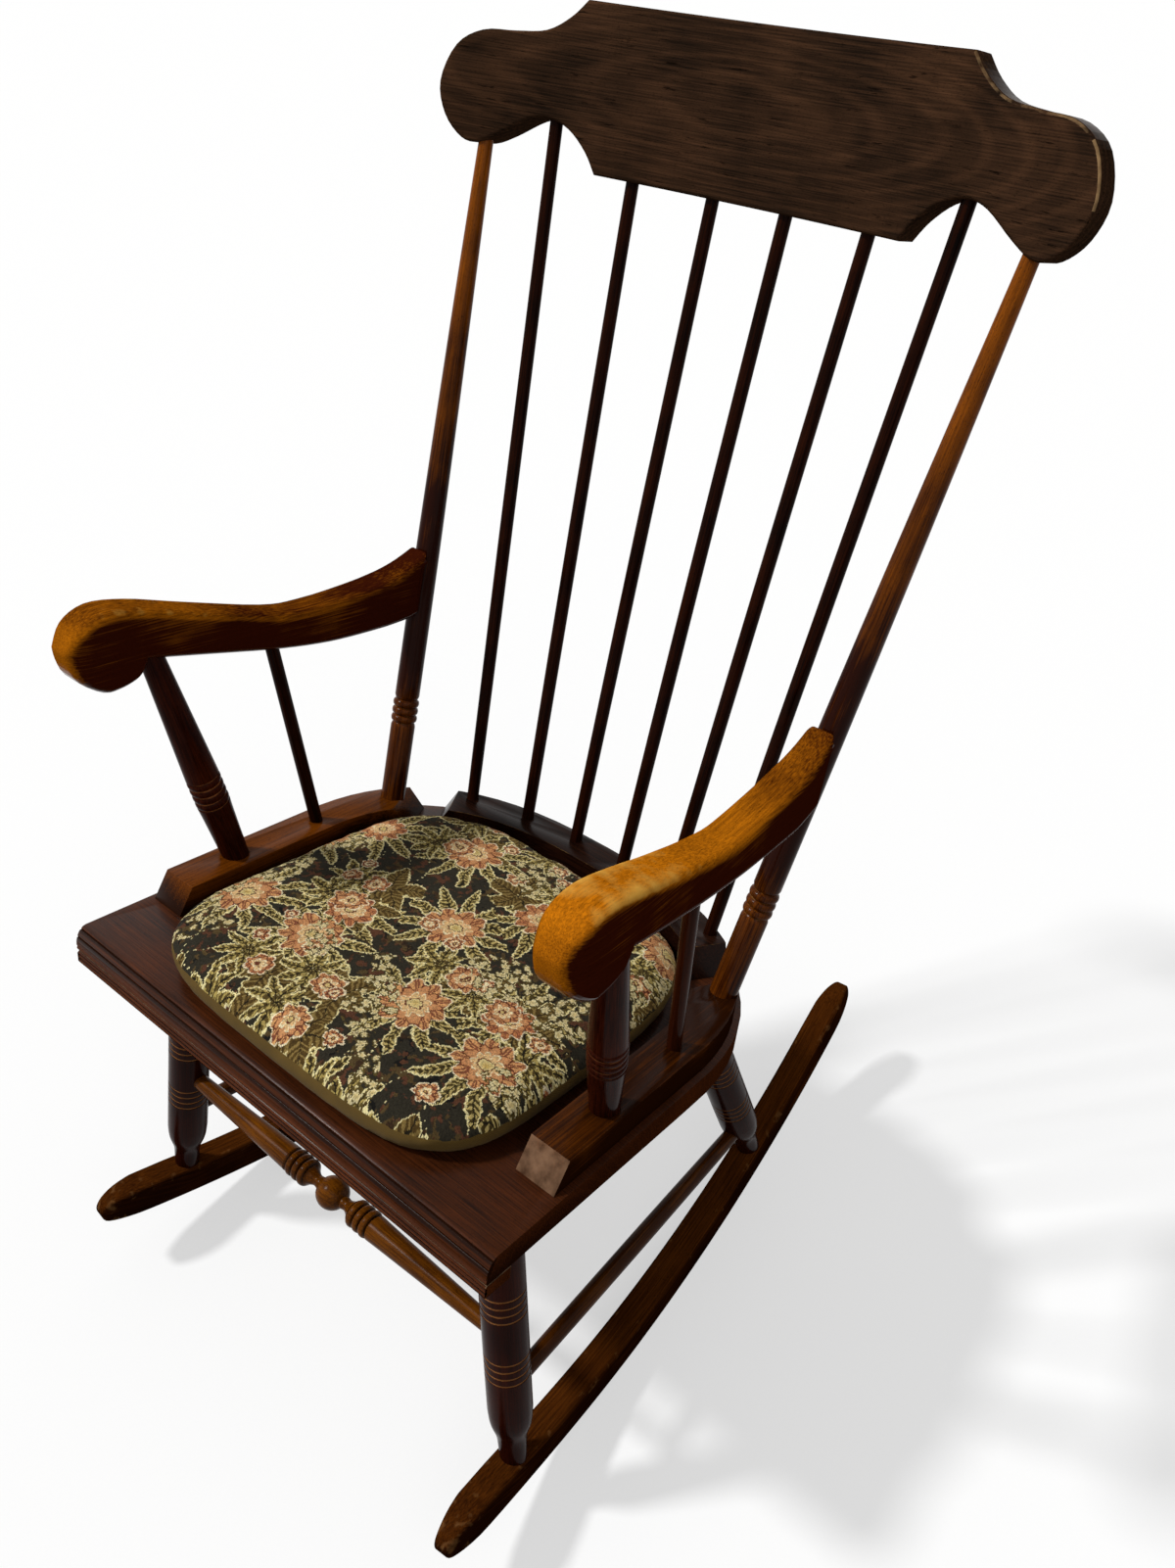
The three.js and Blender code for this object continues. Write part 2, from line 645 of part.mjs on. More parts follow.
function armPostProfile(length) {
  const rings = BLOCK_MORTISE + ARM_POST_RINGS_HEIGHT;
  const half = (GROOVE_PITCH * BAND_GROOVES) / 2;
  const shoulder = ARM_POST_SWELL_RADIUS - GROOVE_DEPTH;
  return [
    [ARM_POST_BASE_RADIUS, 0], [ARM_POST_BASE_RADIUS, BLOCK_MORTISE],
    [shoulder, rings - 2 * half], [ARM_POST_SWELL_RADIUS, rings - half],
    ...grooves(rings, ARM_POST_SWELL_RADIUS),
    [ARM_POST_SWELL_RADIUS, rings + half], [shoulder, rings + 2 * half],
    [ARM_POST_TOP_RADIUS, length - ARM_MORTISE * 1.6], [ARM_POST_TOP_RADIUS, length],
  ];
}

function armSpindleEnds() {
  const base = seatPoint(ARM_SPINDLE_SHARES, BLOCK_HEIGHT);
  const top = armJoint(ARM_SPINDLE_TOP_SHARES);
  const reach = base.distanceTo(top);
  return [pointAlong(base, top, -BLOCK_MORTISE), pointAlong(base, top, reach + ARM_MORTISE)];
}

function armSpindleProfile(length) {
  return [[ARM_SPINDLE_RADIUS, 0], [ARM_SPINDLE_RADIUS, length]];
}

function armDowelProfile(length) {
  return [[ARM_DOWEL_RADIUS, 0], [ARM_DOWEL_RADIUS, length]];
}

// A hidden dowel that ties the arm's rear end to the back post
function armDowelEnds() {
  const onPost = armDowelStart();
  const forward = new THREE.Vector3(0, -ARM_DOWEL_LENGTH, 0);
  return [onPost, onPost.clone().add(forward)];
}

// Runners: worked out level, about the centre of their arc. A place is at a distance along the
// bottom, negative in front, and an inset up from it
function runnerPlace(distance, inset) {
  const flatAngle = -RUNNER_ROUND_LENGTH / RUNNER_RADIUS;
  const past = Math.min(0, distance + RUNNER_ROUND_LENGTH);
  const angle = Math.max(distance, -RUNNER_ROUND_LENGTH) / RUNNER_RADIUS + past / RUNNER_FLAT_RADIUS;
  const flatShift = past < 0 ? RUNNER_FLAT_RADIUS - RUNNER_RADIUS : 0;
  const radius = RUNNER_RADIUS + flatShift - inset;
  const y = radius * Math.sin(angle) - flatShift * Math.sin(flatAngle);
  const z = flatShift * Math.cos(flatAngle) - radius * Math.cos(angle);
  return [y, z];
}

// Facet corners lie evenly to both sides of the lowest point, so the lowest facet is level
function runnerFacets() {
  const tip = RUNNER_TIP_LENGTH * RUNNER_TIP_SHARES[0][0];
  const ahead = Math.floor((RUNNER_FRONT_LENGTH - tip) / RUNNER_FACET_LENGTH + 0.5);
  const behind = Math.floor((RUNNER_REAR_LENGTH - tip) / RUNNER_FACET_LENGTH + 0.5);
  const steps = Array.from({ length: ahead + behind }, (_, index) => index - ahead + 0.5);
  return steps.map((step) => step * RUNNER_FACET_LENGTH);
}

function tipPoints(end, inwards) {
  const reach = RUNNER_TIP_LENGTH * inwards;
  return RUNNER_TIP_SHARES.map(([share, rise]) => runnerPlace(end + reach * share, RUNNER_HEIGHT * rise));
}

function runnerOutline() {
  const facets = runnerFacets();
  const taper = RUNNER_TIP_LENGTH + RUNNER_FACET_LENGTH / 2;
  const isTop = (place) => place > taper - RUNNER_FRONT_LENGTH && place < RUNNER_REAR_LENGTH - taper;
  const top = facets.filter(isTop);
  return outline([
    ...facets.map((place) => runnerPlace(place, 0)),
    ...tipPoints(RUNNER_REAR_LENGTH, -1),
    ...top.reverse().map((place) => runnerPlace(place, RUNNER_HEIGHT)),
    ...tipPoints(-RUNNER_FRONT_LENGTH, 1).reverse(),
  ]);
}

function runnerMatrix() {
  const x = SEAT_WIDTH / 2 - RUNNER_SIDE_INSET - RUNNER_TOE_IN * RUNNER_CENTRE_DEPTH;
  const place = new THREE.Matrix4().makeTranslation(x, RUNNER_CENTRE_DEPTH, RUNNER_CENTRE_HEIGHT);
  return place.multiply(new THREE.Matrix4().makeRotationZ(Math.atan(RUNNER_TOE_IN)));
}

function runner(cutters) {
  const blank = across(runnerOutline(), -RUNNER_WIDTH / 2, RUNNER_WIDTH / 2, 1);
  const levelCutters = cutters.map((cutter) => cutter.clone().applyMatrix4(seatFrame.matrix));
  return cut(blank.applyMatrix4(runnerMatrix()), levelCutters);
}

// Where a leg's foot lands on the runner's top, in the seat frame
function footPoint(place) {
  const point = new THREE.Vector3(0, ...runnerPlace(place, RUNNER_HEIGHT));
  return point.applyMatrix4(runnerMatrix()).applyMatrix4(seatFrame.matrix.clone().invert());
}

// Legs: from the shoulder in the seat to the shoulder in the runner
const LEGS = {
  front: { shares: FRONT_LEG_SHARES, foot: -FRONT_FOOT_LENGTH, bands: FRONT_LEG_BAND_SHARES },
  rear: { shares: REAR_LEG_SHARES, foot: REAR_FOOT_LENGTH, bands: REAR_LEG_BAND_SHARES },
};

function legEnds(place) {
  const top = seatPoint(LEGS[place].shares, -SEAT_THICKNESS);
  const foot = footPoint(LEGS[place].foot);
  const length = top.distanceTo(foot);
  return [pointAlong(top, foot, -LEG_SHOULDER_DEPTH), pointAlong(top, foot, length + FOOT_SHOULDER_DEPTH)];
}

function legProfile(place, length) {
  const bands = LEGS[place].bands.map((share) => length * share);
  const ankle = length - FOOT_SHOULDER_DEPTH - LEG_ANKLE_LENGTH;
  const neck = length - FOOT_SHOULDER_DEPTH - LEG_ANKLE_NECK;
  return [
    [LEG_TENON_RADIUS, -LEG_TENON_LENGTH], [LEG_TENON_RADIUS, 0], [LEG_TOP_RADIUS, 0],
    [LEG_TOP_RADIUS, LEG_SHOULDER_DEPTH * 3], [LEG_RADIUS - GROOVE_DEPTH, LEG_SHOULDER_DEPTH * 6],
    ...bands.flatMap((centre) => grooves(centre, LEG_RADIUS)), [LEG_RADIUS, ankle],
    [LEG_FOOT_RADIUS + GROOVE_DEPTH, neck], [LEG_FOOT_RADIUS, length], [FOOT_TENON_RADIUS, length],
    [FOOT_TENON_RADIUS, length + FOOT_TENON_LENGTH],
  ];
}

function legPoint(place, share) {
  const [from, to] = legEnds(place);
  return from.clone().lerp(to, share);
}

function legTopSockets(place) {
  const ends = legEnds(place);
  const shoulder = footSocket(ends, LEG_TOP_RADIUS, OVERRUN / 2, LEG_SIDES);
  const deepest = -LEG_TENON_LENGTH - GLUE_GAP;
  const tenon = socket(ends, LEG_TENON_RADIUS, deepest, LEG_TENON_LENGTH, LEG_SIDES);
  return [shoulder, tenon];
}

function legFootSockets(place) {
  const ends = legEnds(place);
  const length = ends[0].distanceTo(ends[1]);
  const shoulder = headSocket(ends, LEG_FOOT_RADIUS, OVERRUN / 2, LEG_SIDES);
  const deepest = length + FOOT_TENON_LENGTH + GLUE_GAP;
  const tenon = socket(ends, FOOT_TENON_RADIUS, length - FOOT_TENON_LENGTH, deepest, LEG_SIDES);
  return [shoulder, tenon];
}

// Stretchers run between leg axes and stop inside the legs
function stretcherEnds(first, second) {
  const setBack = LEG_RADIUS - STRETCHER_MORTISE;
  const length = first.distanceTo(second);
  return [pointAlong(first, second, setBack), pointAlong(first, second, length - setBack)];
}

function frontStretcherEnds() {
  const right = legPoint('front', FRONT_STRETCHER_SHARE);
  return stretcherEnds(mirrored(right, -1), right);
}

function rearStretcherEnds() {
  const right = legPoint('rear', REAR_STRETCHER_SHARE);
  return stretcherEnds(mirrored(right, -1), right);
}

function sideStretcherEnds(side) {
  const [frontShare, rearShare] = SIDE_STRETCHER_SHARES;
  const front = mirrored(legPoint('front', frontShare), side);
  const rear = mirrored(legPoint('rear', rearShare), side);
  return stretcherEnds(front, rear);
}

function plainStretcherProfile(length) {
  return [
    [SIDE_STRETCHER_END_RADIUS, 0], [SIDE_STRETCHER_END_RADIUS, STRETCHER_MORTISE],
    [SIDE_STRETCHER_RADIUS, length / 2], [SIDE_STRETCHER_END_RADIUS, length - STRETCHER_MORTISE],
    [SIDE_STRETCHER_END_RADIUS, length],
  ];
}

function frontStretcherProfile(length) {
  const middle = length / 2;
  const ball = FRONT_STRETCHER_BALL_RADIUS;
  const swell = FRONT_STRETCHER_SWELL_RADIUS;
  const half = BALL_SHARES.map(([share, offset]) => [ball * share, ball * offset]);
  const ringStart = ball * 1.9;
  const rings = beads(ringStart, GROOVE_PITCH, 3, swell + GROOVE_DEPTH, swell - GROOVE_DEPTH);
  const outward = [...half, ...rings, [swell, ringStart + GROOVE_PITCH * 3 + GROOVE_WIDTH],
    [FRONT_STRETCHER_END_RADIUS, middle - STRETCHER_MORTISE], [FRONT_STRETCHER_END_RADIUS, middle]];
  const left = outward.slice(1).reverse().map(([radius, offset]) => [radius, middle - offset]);
  const right = outward.map(([radius, offset]) => [radius, middle + offset]);
  return [...left, ...right];
}

// Sockets for every round end that a leg receives
function legSockets(place, side) {
  const toLeg = alongMatrix(...mirroredEnds(legEnds(place), side)).invert();
  const isFront = place === 'front';
  const crossEnds = isFront ? frontStretcherEnds() : rearStretcherEnds();
  const crossRadius = isFront ? FRONT_STRETCHER_END_RADIUS : SIDE_STRETCHER_END_RADIUS;
  const crossSocket = side > 0 ? headSocket : footSocket;
  const sideSocket = isFront ? footSocket : headSocket;
  const reach = OVERRUN / 2;
  return [
    crossSocket(crossEnds, crossRadius, reach, POST_SIDES),
    sideSocket(sideStretcherEnds(side), SIDE_STRETCHER_END_RADIUS, reach, POST_SIDES),
  ].map((cutter) => cutter.applyMatrix4(toLeg));
}

function leg(place, side) {
  const [from, to] = legEnds(place);
  const blank = turned(legProfile(place, from.distanceTo(to)), LEG_SIDES);
  return cut(blank, legSockets(place, side));
}

// Seat pad: a crowned top over drawn-in sides, rounded in plan
function padPlan(angle) {
  const cosine = Math.cos(angle);
  const sine = Math.sin(angle);
  const power = 2 / (sine < 0 ? PAD_FRONT_SQUARENESS : PAD_REAR_SQUARENESS);
  const border = BLOCK_INSET + BLOCK_WIDTH;
  const widest = SEAT_DEPTH * PAD_WIDEST_SHARE;
  const frontReach = widest + PAD_OVERHANG;
  const rearReach = SEAT_DEPTH - border - PAD_BACK_GAP - widest;
  const reach = sine < 0 ? frontReach : rearReach;
  const halfWidth = halfWidthAt(SEAT_STRAIGHT_DEPTH) - border - PAD_SIDE_GAP;
  const x = halfWidth * Math.sign(cosine) * Math.abs(cosine) ** power;
  return [x, reach * Math.sign(sine) * Math.abs(sine) ** power];
}

function seatPad() {
  const positions = [];
  const rings = PAD_RING_SHARES.length;
  for (const [inward, height] of PAD_RING_SHARES) {
    for (let side = 0; side < PAD_SIDES; side += 1) {
      const [x, y] = padPlan((2 * Math.PI * side) / PAD_SIDES);
      positions.push(x * inward, y * inward, PAD_THICKNESS * height);
    }
  }
  positions.push(0, 0, 0, 0, 0, PAD_THICKNESS);
  const bottom = rings * PAD_SIDES;
  const index = [];
  for (let side = 0; side < PAD_SIDES; side += 1) {
    const next = (side + 1) % PAD_SIDES;
    for (let ring = 0; ring + 1 < rings; ring += 1) {
      const [low, high] = [ring * PAD_SIDES, (ring + 1) * PAD_SIDES];
      index.push(low + side, low + next, high + next, low + side, high + next, high + side);
    }
    index.push(bottom, next, side, bottom + 1, bottom - PAD_SIDES + side, bottom - PAD_SIDES + next);
  }
  const geometry = new THREE.BufferGeometry();
  geometry.setAttribute('position', new THREE.Float32BufferAttribute(positions, 3));
  geometry.setIndex(index);
  geometry.computeVertexNormals();
  return geometry;
}

// Block screws: a countersunk head under the seat and a plain shank into the block
function screwPlaces() {
  const inset = BLOCK_INSET + BLOCK_WIDTH / 2;
  const sideX = halfWidthAt(SEAT_STRAIGHT_DEPTH / 2) - inset;
  const backX = (SEAT_WIDTH / 2) * BACK_SCREW_WIDTH_SHARE;
  const backY = rimPoint(inset, Math.PI / 2)[1];
  const places = {};
  for (const [sideName, side] of Object.entries(SIDES)) {
    SIDE_SCREW_DEPTH_SHARES.forEach((share, index) => {
      const place = new THREE.Vector3(sideX * side, SEAT_DEPTH * share, -SEAT_THICKNESS);
      places[`side_block_screw_${sideName}_${index + 1}`] = place;
    });
    places[`back_block_screw_${sideName}`] = new THREE.Vector3(backX * side, backY, -SEAT_THICKNESS);
  }
  return places;
}

function screwProfile() {
  return [
    [SCREW_HEAD_RADIUS, SCREW_SET], [SCREW_HEAD_RADIUS, SCREW_SET + GLUE_GAP],
    [SCREW_RADIUS, SCREW_SET + SCREW_HEAD_HEIGHT], [SCREW_RADIUS, SCREW_LENGTH],
  ];
}

function screwHole(place) {
  const head = SCREW_HEAD_RADIUS + GLUE_GAP;
  const shank = SCREW_RADIUS + GLUE_GAP;
  const profile = [
    [head, -OVERRUN / 4], [head, SCREW_SET + 2 * GLUE_GAP],
    [shank, SCREW_SET + SCREW_HEAD_HEIGHT + GLUE_GAP], [shank, SCREW_LENGTH + GLUE_GAP],
  ];
  return turned(profile, SCREW_SIDES).translate(place.x, place.y, place.z);
}

function screwHoles(screws, start) {
  const chosen = Object.entries(screws).filter(([name]) => name.startsWith(start));
  return chosen.map(([, place]) => screwHole(place));
}

const SPINDLES = [0, 1, 2];

function crestSockets() {
  const reach = CREST_MORTISE * 2;
  const post = headSocket(postEnds(), POST_TOP_RADIUS, reach, POST_SIDES);
  const spindleSocket = (index) => {
    return headSocket(spindleEnds(index), SPINDLE_TOP_RADIUS, reach, SPINDLE_SIDES);
  };
  return [post, ...SPINDLES.map(spindleSocket)];
}

function addSeat(screws) {
  const holes = screwHoles(screws, '');
  const sockets = ['front', 'rear'].flatMap((place) => legTopSockets(place));
  const seat = seatBoard([...sockets, ...sockets.map(mirrorGeometry), ...holes]);
  addMesh(seatFrame, 'seat_board', seat, finishes.seat());
  addMesh(seatFrame, 'front_moulding', frontMoulding(), finishes.seat());
}

function addBlocks(screws) {
  const reach = BLOCK_HEIGHT * 2;
  const sideCutters = [
    footSocket(postEnds(), POST_BASE_RADIUS, reach, POST_SIDES),
    footSocket(armPostEnds(), ARM_POST_BASE_RADIUS, reach, POST_SIDES),
    footSocket(armSpindleEnds(), ARM_SPINDLE_RADIUS, reach, SPINDLE_SIDES),
    ...screwHoles(screws, 'side_block_screw_right'),
  ];
  const right = sideBlock(sideCutters);
  addMesh(seatFrame, 'side_block_right', right, finishes.block());
  addMesh(seatFrame, 'side_block_left', mirrorGeometry(right), finishes.block());
  const spindleSocket = (index) => {
    return footSocket(spindleEnds(index), SPINDLE_BASE_RADIUS, reach, SPINDLE_SIDES);
  };
  const spindles = SPINDLES.map(spindleSocket);
  const holes = screwHoles(screws, 'back_block_screw');
  const back = backBlock([...spindles, ...spindles.map(mirrorGeometry), ...holes]);
  addMesh(seatFrame, 'back_block', back, finishes.dark());
}

function addScrews(screws) {
  for (const [name, place] of Object.entries(screws)) {
    const mesh = addMesh(seatFrame, name, turned(screwProfile(), SCREW_SIDES), finishes.screw());
    mesh.position.copy(place);
  }
}

function addBack() {
  const sockets = crestSockets();
  const rail = crestRail([...sockets, ...sockets.map(mirrorGeometry)]);
  addMesh(seatFrame, 'crest_rail', rail, finishes.crest()).applyMatrix4(crestMatrix);
  for (const [sideName, side] of Object.entries(SIDES)) {
    const [from, to] = mirroredEnds(postEnds(), side);
    const post = addMesh(seatFrame, `back_post_${sideName}`, backPost(side), finishes.post());
    post.applyMatrix4(alongMatrix(from, to));
    for (const index of SPINDLES) {
      const ends = mirroredEnds(spindleEnds(index), side);
      const number = side < 0 ? 3 - index : 4 + index;
      addTurned(`spindle_${number}`, ends, spindleProfile, SPINDLE_SIDES, finishes.dark());
    }
  }
}

function backPost(side) {
  const [from, to] = mirroredEnds(postEnds(), side);
  const dowel = mirroredEnds(armDowelEnds(), side);
  const toPost = alongMatrix(from, to).invert();
  const hole = footSocket(dowel, ARM_DOWEL_RADIUS, OVERRUN / 2, SPINDLE_SIDES).applyMatrix4(toPost);
  return cut(turned(postProfile(from.distanceTo(to)), POST_SIDES), [hole]);
}

function addArms() {
  const [postFrom, postTo] = postEnds();
  const notchRadius = POST_BASE_RADIUS + GLUE_GAP;
  const notch = turned([[notchRadius, 0], [notchRadius, postFrom.distanceTo(postTo)]], POST_SIDES * 2);
  const cutters = [
    notch.applyMatrix4(alongMatrix(postFrom, postTo)),
    headSocket(armPostEnds(), ARM_POST_TOP_RADIUS, OVERRUN, POST_SIDES),
    headSocket(armSpindleEnds(), ARM_SPINDLE_RADIUS, OVERRUN, SPINDLE_SIDES),
    headSocket(armDowelEnds(), ARM_DOWEL_RADIUS, ARM_DOWEL_LENGTH, SPINDLE_SIDES),
  ];
  const right = armPiece(cutters);
  addMesh(seatFrame, 'arm_right', right, finishes.arm());
  addMesh(seatFrame, 'arm_left', mirrorGeometry(right), finishes.arm());
  for (const [sideName, side] of Object.entries(SIDES)) {
    const post = mirroredEnds(armPostEnds(), side);
    const spindle = mirroredEnds(armSpindleEnds(), side);
    const dowel = mirroredEnds(armDowelEnds(), side);
    addTurned(`arm_post_${sideName}`, post, armPostProfile, POST_SIDES, finishes.leg());
    addTurned(`arm_spindle_${sideName}`, spindle, armSpindleProfile, SPINDLE_SIDES, finishes.dark());
    addTurned(`arm_dowel_${sideName}`, dowel, armDowelProfile, SPINDLE_SIDES, finishes.dowel());
  }
}

function addLegs() {
  for (const [sideName, side] of Object.entries(SIDES)) {
    for (const place of ['front', 'rear']) {
      const [from, to] = mirroredEnds(legEnds(place), side);
      const mesh = addMesh(seatFrame, `leg_${place}_${sideName}`, leg(place, side), finishes.leg());
      mesh.applyMatrix4(alongMatrix(from, to));
    }
  }
}

function addStretchers() {
  addStretcher('front_stretcher', frontStretcherEnds(), frontStretcherProfile);
  addStretcher('rear_stretcher', rearStretcherEnds(), plainStretcherProfile);
  for (const [sideName, side] of Object.entries(SIDES)) {
    addStretcher(`side_stretcher_${sideName}`, sideStretcherEnds(side), plainStretcherProfile);
  }
}

function addStretcher(name, ends, profileFor) {
  addTurned(name, ends, profileFor, POST_SIDES, finishes.stretcher());
}

function addRunners() {
  const sockets = ['front', 'rear'].flatMap((place) => legFootSockets(place));
  const right = runner(sockets);
  addMesh(levelFrame, 'runner_right', right, finishes.runner());
  addMesh(levelFrame, 'runner_left', mirrorGeometry(right), finishes.runner());
}

function addPad() {
  const pad = addMesh(seatFrame, 'seat_cushion', seatPad(), finishes.pad());
  pad.position.set(0, SEAT_DEPTH * PAD_WIDEST_SHARE, PAD_LIFT);
}

const screws = screwPlaces();
addSeat(screws);
addBlocks(screws);
addScrews(screws);
addBack();
addArms();
addLegs();
addStretchers();
addRunners();
addPad();

// The chair stands on the floor with its footprint centred on the origin
const box = new THREE.Box3().setFromObject(chair, true);
chair.position.set(0, -(box.min.y + box.max.y) / 2, -box.min.z);

export default chair;
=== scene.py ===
import math
from functools import partial

import bmesh
import bpy
import numpy as np
from bpy.props import FloatProperty, FloatVectorProperty, IntProperty, PointerProperty
from mathutils import Matrix, Vector


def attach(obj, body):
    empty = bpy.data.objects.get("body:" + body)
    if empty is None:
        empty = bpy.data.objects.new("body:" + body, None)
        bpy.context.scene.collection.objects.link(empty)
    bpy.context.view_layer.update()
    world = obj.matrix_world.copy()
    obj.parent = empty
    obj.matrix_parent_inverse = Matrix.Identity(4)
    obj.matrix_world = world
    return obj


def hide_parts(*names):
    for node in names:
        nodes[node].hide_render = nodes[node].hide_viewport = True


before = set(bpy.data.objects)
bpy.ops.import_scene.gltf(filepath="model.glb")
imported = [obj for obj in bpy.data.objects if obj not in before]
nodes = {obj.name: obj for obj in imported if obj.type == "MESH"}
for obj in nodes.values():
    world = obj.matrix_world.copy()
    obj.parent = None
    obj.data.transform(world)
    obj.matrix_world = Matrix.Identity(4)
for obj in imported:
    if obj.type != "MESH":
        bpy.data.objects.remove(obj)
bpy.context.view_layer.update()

bl_info = {
    "name": "Boston Rocking Chair",
    "version": (1, 0, 0),
    "blender": (4, 5, 0),
    "location": "View3D > Sidebar > Rocking Chair",
    "description": "Dresses the chair's frame in turned and stained beech with a tapestry pad",
    "category": "Object",
}

MM = 0.001
SIDES = {"left": -1, "right": 1}
SEAT_TILT = math.radians(9)
UPWARDS = Vector((0, 0, 1))
FORWARDS = Vector((0, -1, 0))
RIGHTWARDS = Vector((1, 0, 0))
# Points of a CAD mesh that lie closer than this are one corner
MERGE = 0.01 * MM

# Half of the crest rail's outline, round its ear from the top: mm from the middle and mm up.
# Its thickness, bow and place on the seat are in mm too, and its lean back in radians
CREST_TOP_CORNER = (175, 128.5)
CREST_EAR = [
    (189, 114.6), (210, 102.5), (239, 98.3), (268, 95.3), (290.5, 81), (302, 51.4), (295, 25.7),
    (278, 9.6), (262, 8.4), (243, 17.3), (217, 32.8), (198, 36.6), (178, 30.8), (160, 16.1),
]
CREST_BOTTOM_CORNER = (148.3, 0)
CREST_THICKNESS = 28
CREST_BOW_RADIUS = 895
CREST_PLACE = (0, 487.5, 618.5)
CREST_LEAN = 0.076

# Arm seen from the side: mm behind the seat's front edge and mm above the seat
ARM_TOP = [
    (5, 263.5), (16, 281), (40, 291.5), (74, 287.4), (128, 272.6), (201, 254.3), (241, 251.8),
    (308, 257.3), (342, 265.4), (367.7, 277.6),
]
ARM_BELOW = [
    (360, 217.9), (343, 213.7), (287, 212.2), (243, 214), (191, 220.8), (125, 232.8), (75.7, 242.2),
]
ARM_SCROLL = [
    (75.7, 242.2), (69.2, 230.3), (59.8, 224.7), (46.3, 221.5), (33.7, 222.5), (14.8, 236.1),
    (7.2, 252.3), (5, 263.5),
]
# Arm seen from above: mm back, then mm from the chair's middle to its inner and outer side
ARM_PLAN = [
    (5, 243.1, 280.1), (40, 242.1, 280.1), (80, 239.6, 278.1), (120, 236, 273.5), (160, 232, 268.5),
    (200, 227.4, 262.9), (260, 221.6, 255.5), (320, 216, 250.5), (368, 215, 242.1),
]
# Width of the straight blank that is bent to the plan, and depth of the rounded nose
ARM_BLANK = 34 * MM
ARM_NOSE = 0.022

# Runner: arcs about a point above the seat, with distances along its underside, in mm
RUNNER_RADIUS = 767
RUNNER_FLAT_RADIUS = 1500
RUNNER_ROUND_LENGTH = 161
RUNNER_HEIGHT = 35
RUNNER_WIDTH = 29.5
RUNNER_FRONT_LENGTH = 355
RUNNER_REAR_LENGTH = 410
RUNNER_TIP_LENGTH = 62
RUNNER_TIP = [
    (1, 0), (0.45, 0), (0.13, 0.02), (0.03, 0.17), (0, 0.4), (0.07, 0.64), (0.28, 0.85),
    (0.6, 0.97),
]
RUNNER_STATIONS = 44
RUNNER_TAPER = 52
RUNNER_PLACE = (208.4, 263, 352)
RUNNER_TOE_IN = 0.105

# Two grooves along the rolled front edge: heights below the seat, width and depth
ROLL_GROOVES = (-2.4 * MM, -8.9 * MM)
GROOVE_WIDTH = 2.2 * MM
GROOVE_DEPTH = 1.1 * MM
# Faces of a board with more square metres than this are shaded flat
BOARD_FACE = 0.004
# Edges of a board that turn by more degrees than this are eased
BOARD_EDGE = 33
# Polish starts and is full at these shares of a face's turn towards the polished side
POLISH = (0.15, 0.6)

# Turned work: steps in a bead, a leg's radius, tenons and scribed rings, in mm
BEAD_STEPS = 5
LEG_RADIUS = 19.6
LEG_TOP_TENON = 15
LEG_FOOT_TENON = 14
SCRIBED_RINGS = 4
SCRIBED_PITCH = 8
SCRIBED_WIDTH = 2.4
SCRIBED_DEPTH = 0.8

# Thickness of the tapestry's drawn outlines
PATTERN_LINE = 1.4 * MM

# Pad: height of the seam between its top and side band above the seat, size of its even mesh,
# frames that its filling takes to settle, and the pressure of the filling
SEAM_HEIGHT = 22.5 * MM
PAD_MESH = 4 * MM
PAD_FRAMES = 20
PAD_PRESSURE = 4

# Studio: half width of the paper and its gap under the runners in metres, share of its own glow,
# and lamps with their place, spread in degrees and strength
FLOOR_SIZE = 12
FLOOR_DROP = 0.4 * MM
FLOOR_GLOW = 0.55
WORLD_LIGHT = 0.34
LAMPS = (("key", (-0.95, -0.75, 1.5), 6, 2.45), ("fill", (1.2, -0.9, 1.4), 40, 0.3))

# Camera solved from the photograph, which has 1200 x 1601 pixels. Place in metres, turn in degrees
CAMERA_LENS = 30.92
CAMERA_SENSOR = 36
CAMERA_SHIFT = ((600 - 590.3) / 1601, (803.3 - 800.5) / 1601)
CAMERA_PLACE = (0.6499, -0.6546, 1.2450)
CAMERA_TURN = (52.188, 0.098, 40.981)


def srgb(hex_text):
    """Turns an sRGB hex colour into the linear one that Blender's sockets take."""
    parts = [int(hex_text[i : i + 2], 16) / 255 for i in (0, 2, 4)]
    return [c / 12.92 if c <= 0.04045 else ((c + 0.055) / 1.055) ** 2.4 for c in parts]


def colour(name, hex_text):
    return FloatVectorProperty(name=name, description="Colour of the " + name.lower(),
                               subtype="COLOR", size=3, min=0, max=1, default=srgb(hex_text))


def length(name, description, usual, most):
    return FloatProperty(name=name, description=description, default=usual * MM, min=0,
                         max=most * MM, unit="LENGTH")


class ChairSizes(bpy.types.PropertyGroup):
    turned_steps: IntProperty(
        name="Turned Steps", description="Flats round each turned piece", default=40, min=16,
        max=96)
    seat_ease: length("Seat Ease", "Rounding of the seat's and blocks' edges", 1.2, 4)
    crest_ease: length("Crest Ease", "Rounding of the crest rail's edges", 3.2, 8)
    arm_ease: length("Arm Ease", "Rounding of the arms' edges", 7, 12)
    runner_ease: length("Runner Ease", "Rounding of the runners' edges", 5, 10)
    pad_swell: length("Pad Swell", "How far the filling may push the cover out", 6, 15)


class ChairColours(bpy.types.PropertyGroup):
    seat: colour("Seat Stain", "241007")
    block: colour("Block Stain", "260f03")
    dark: colour("Dark Stain", "0c0503")
    crest: colour("Crest Stain", "241a13")
    post: colour("Post Stain", "290b02")
    honey: colour("Honey Stain", "97500b")
    arm: colour("Arm Stain", "3a1306")
    leg: colour("Leg Stain", "1c0603")
    stretcher: colour("Stretcher Stain", "3a1b04")
    runner: colour("Runner Stain", "220c04")
    band: colour("Side Band", "5f4a22")


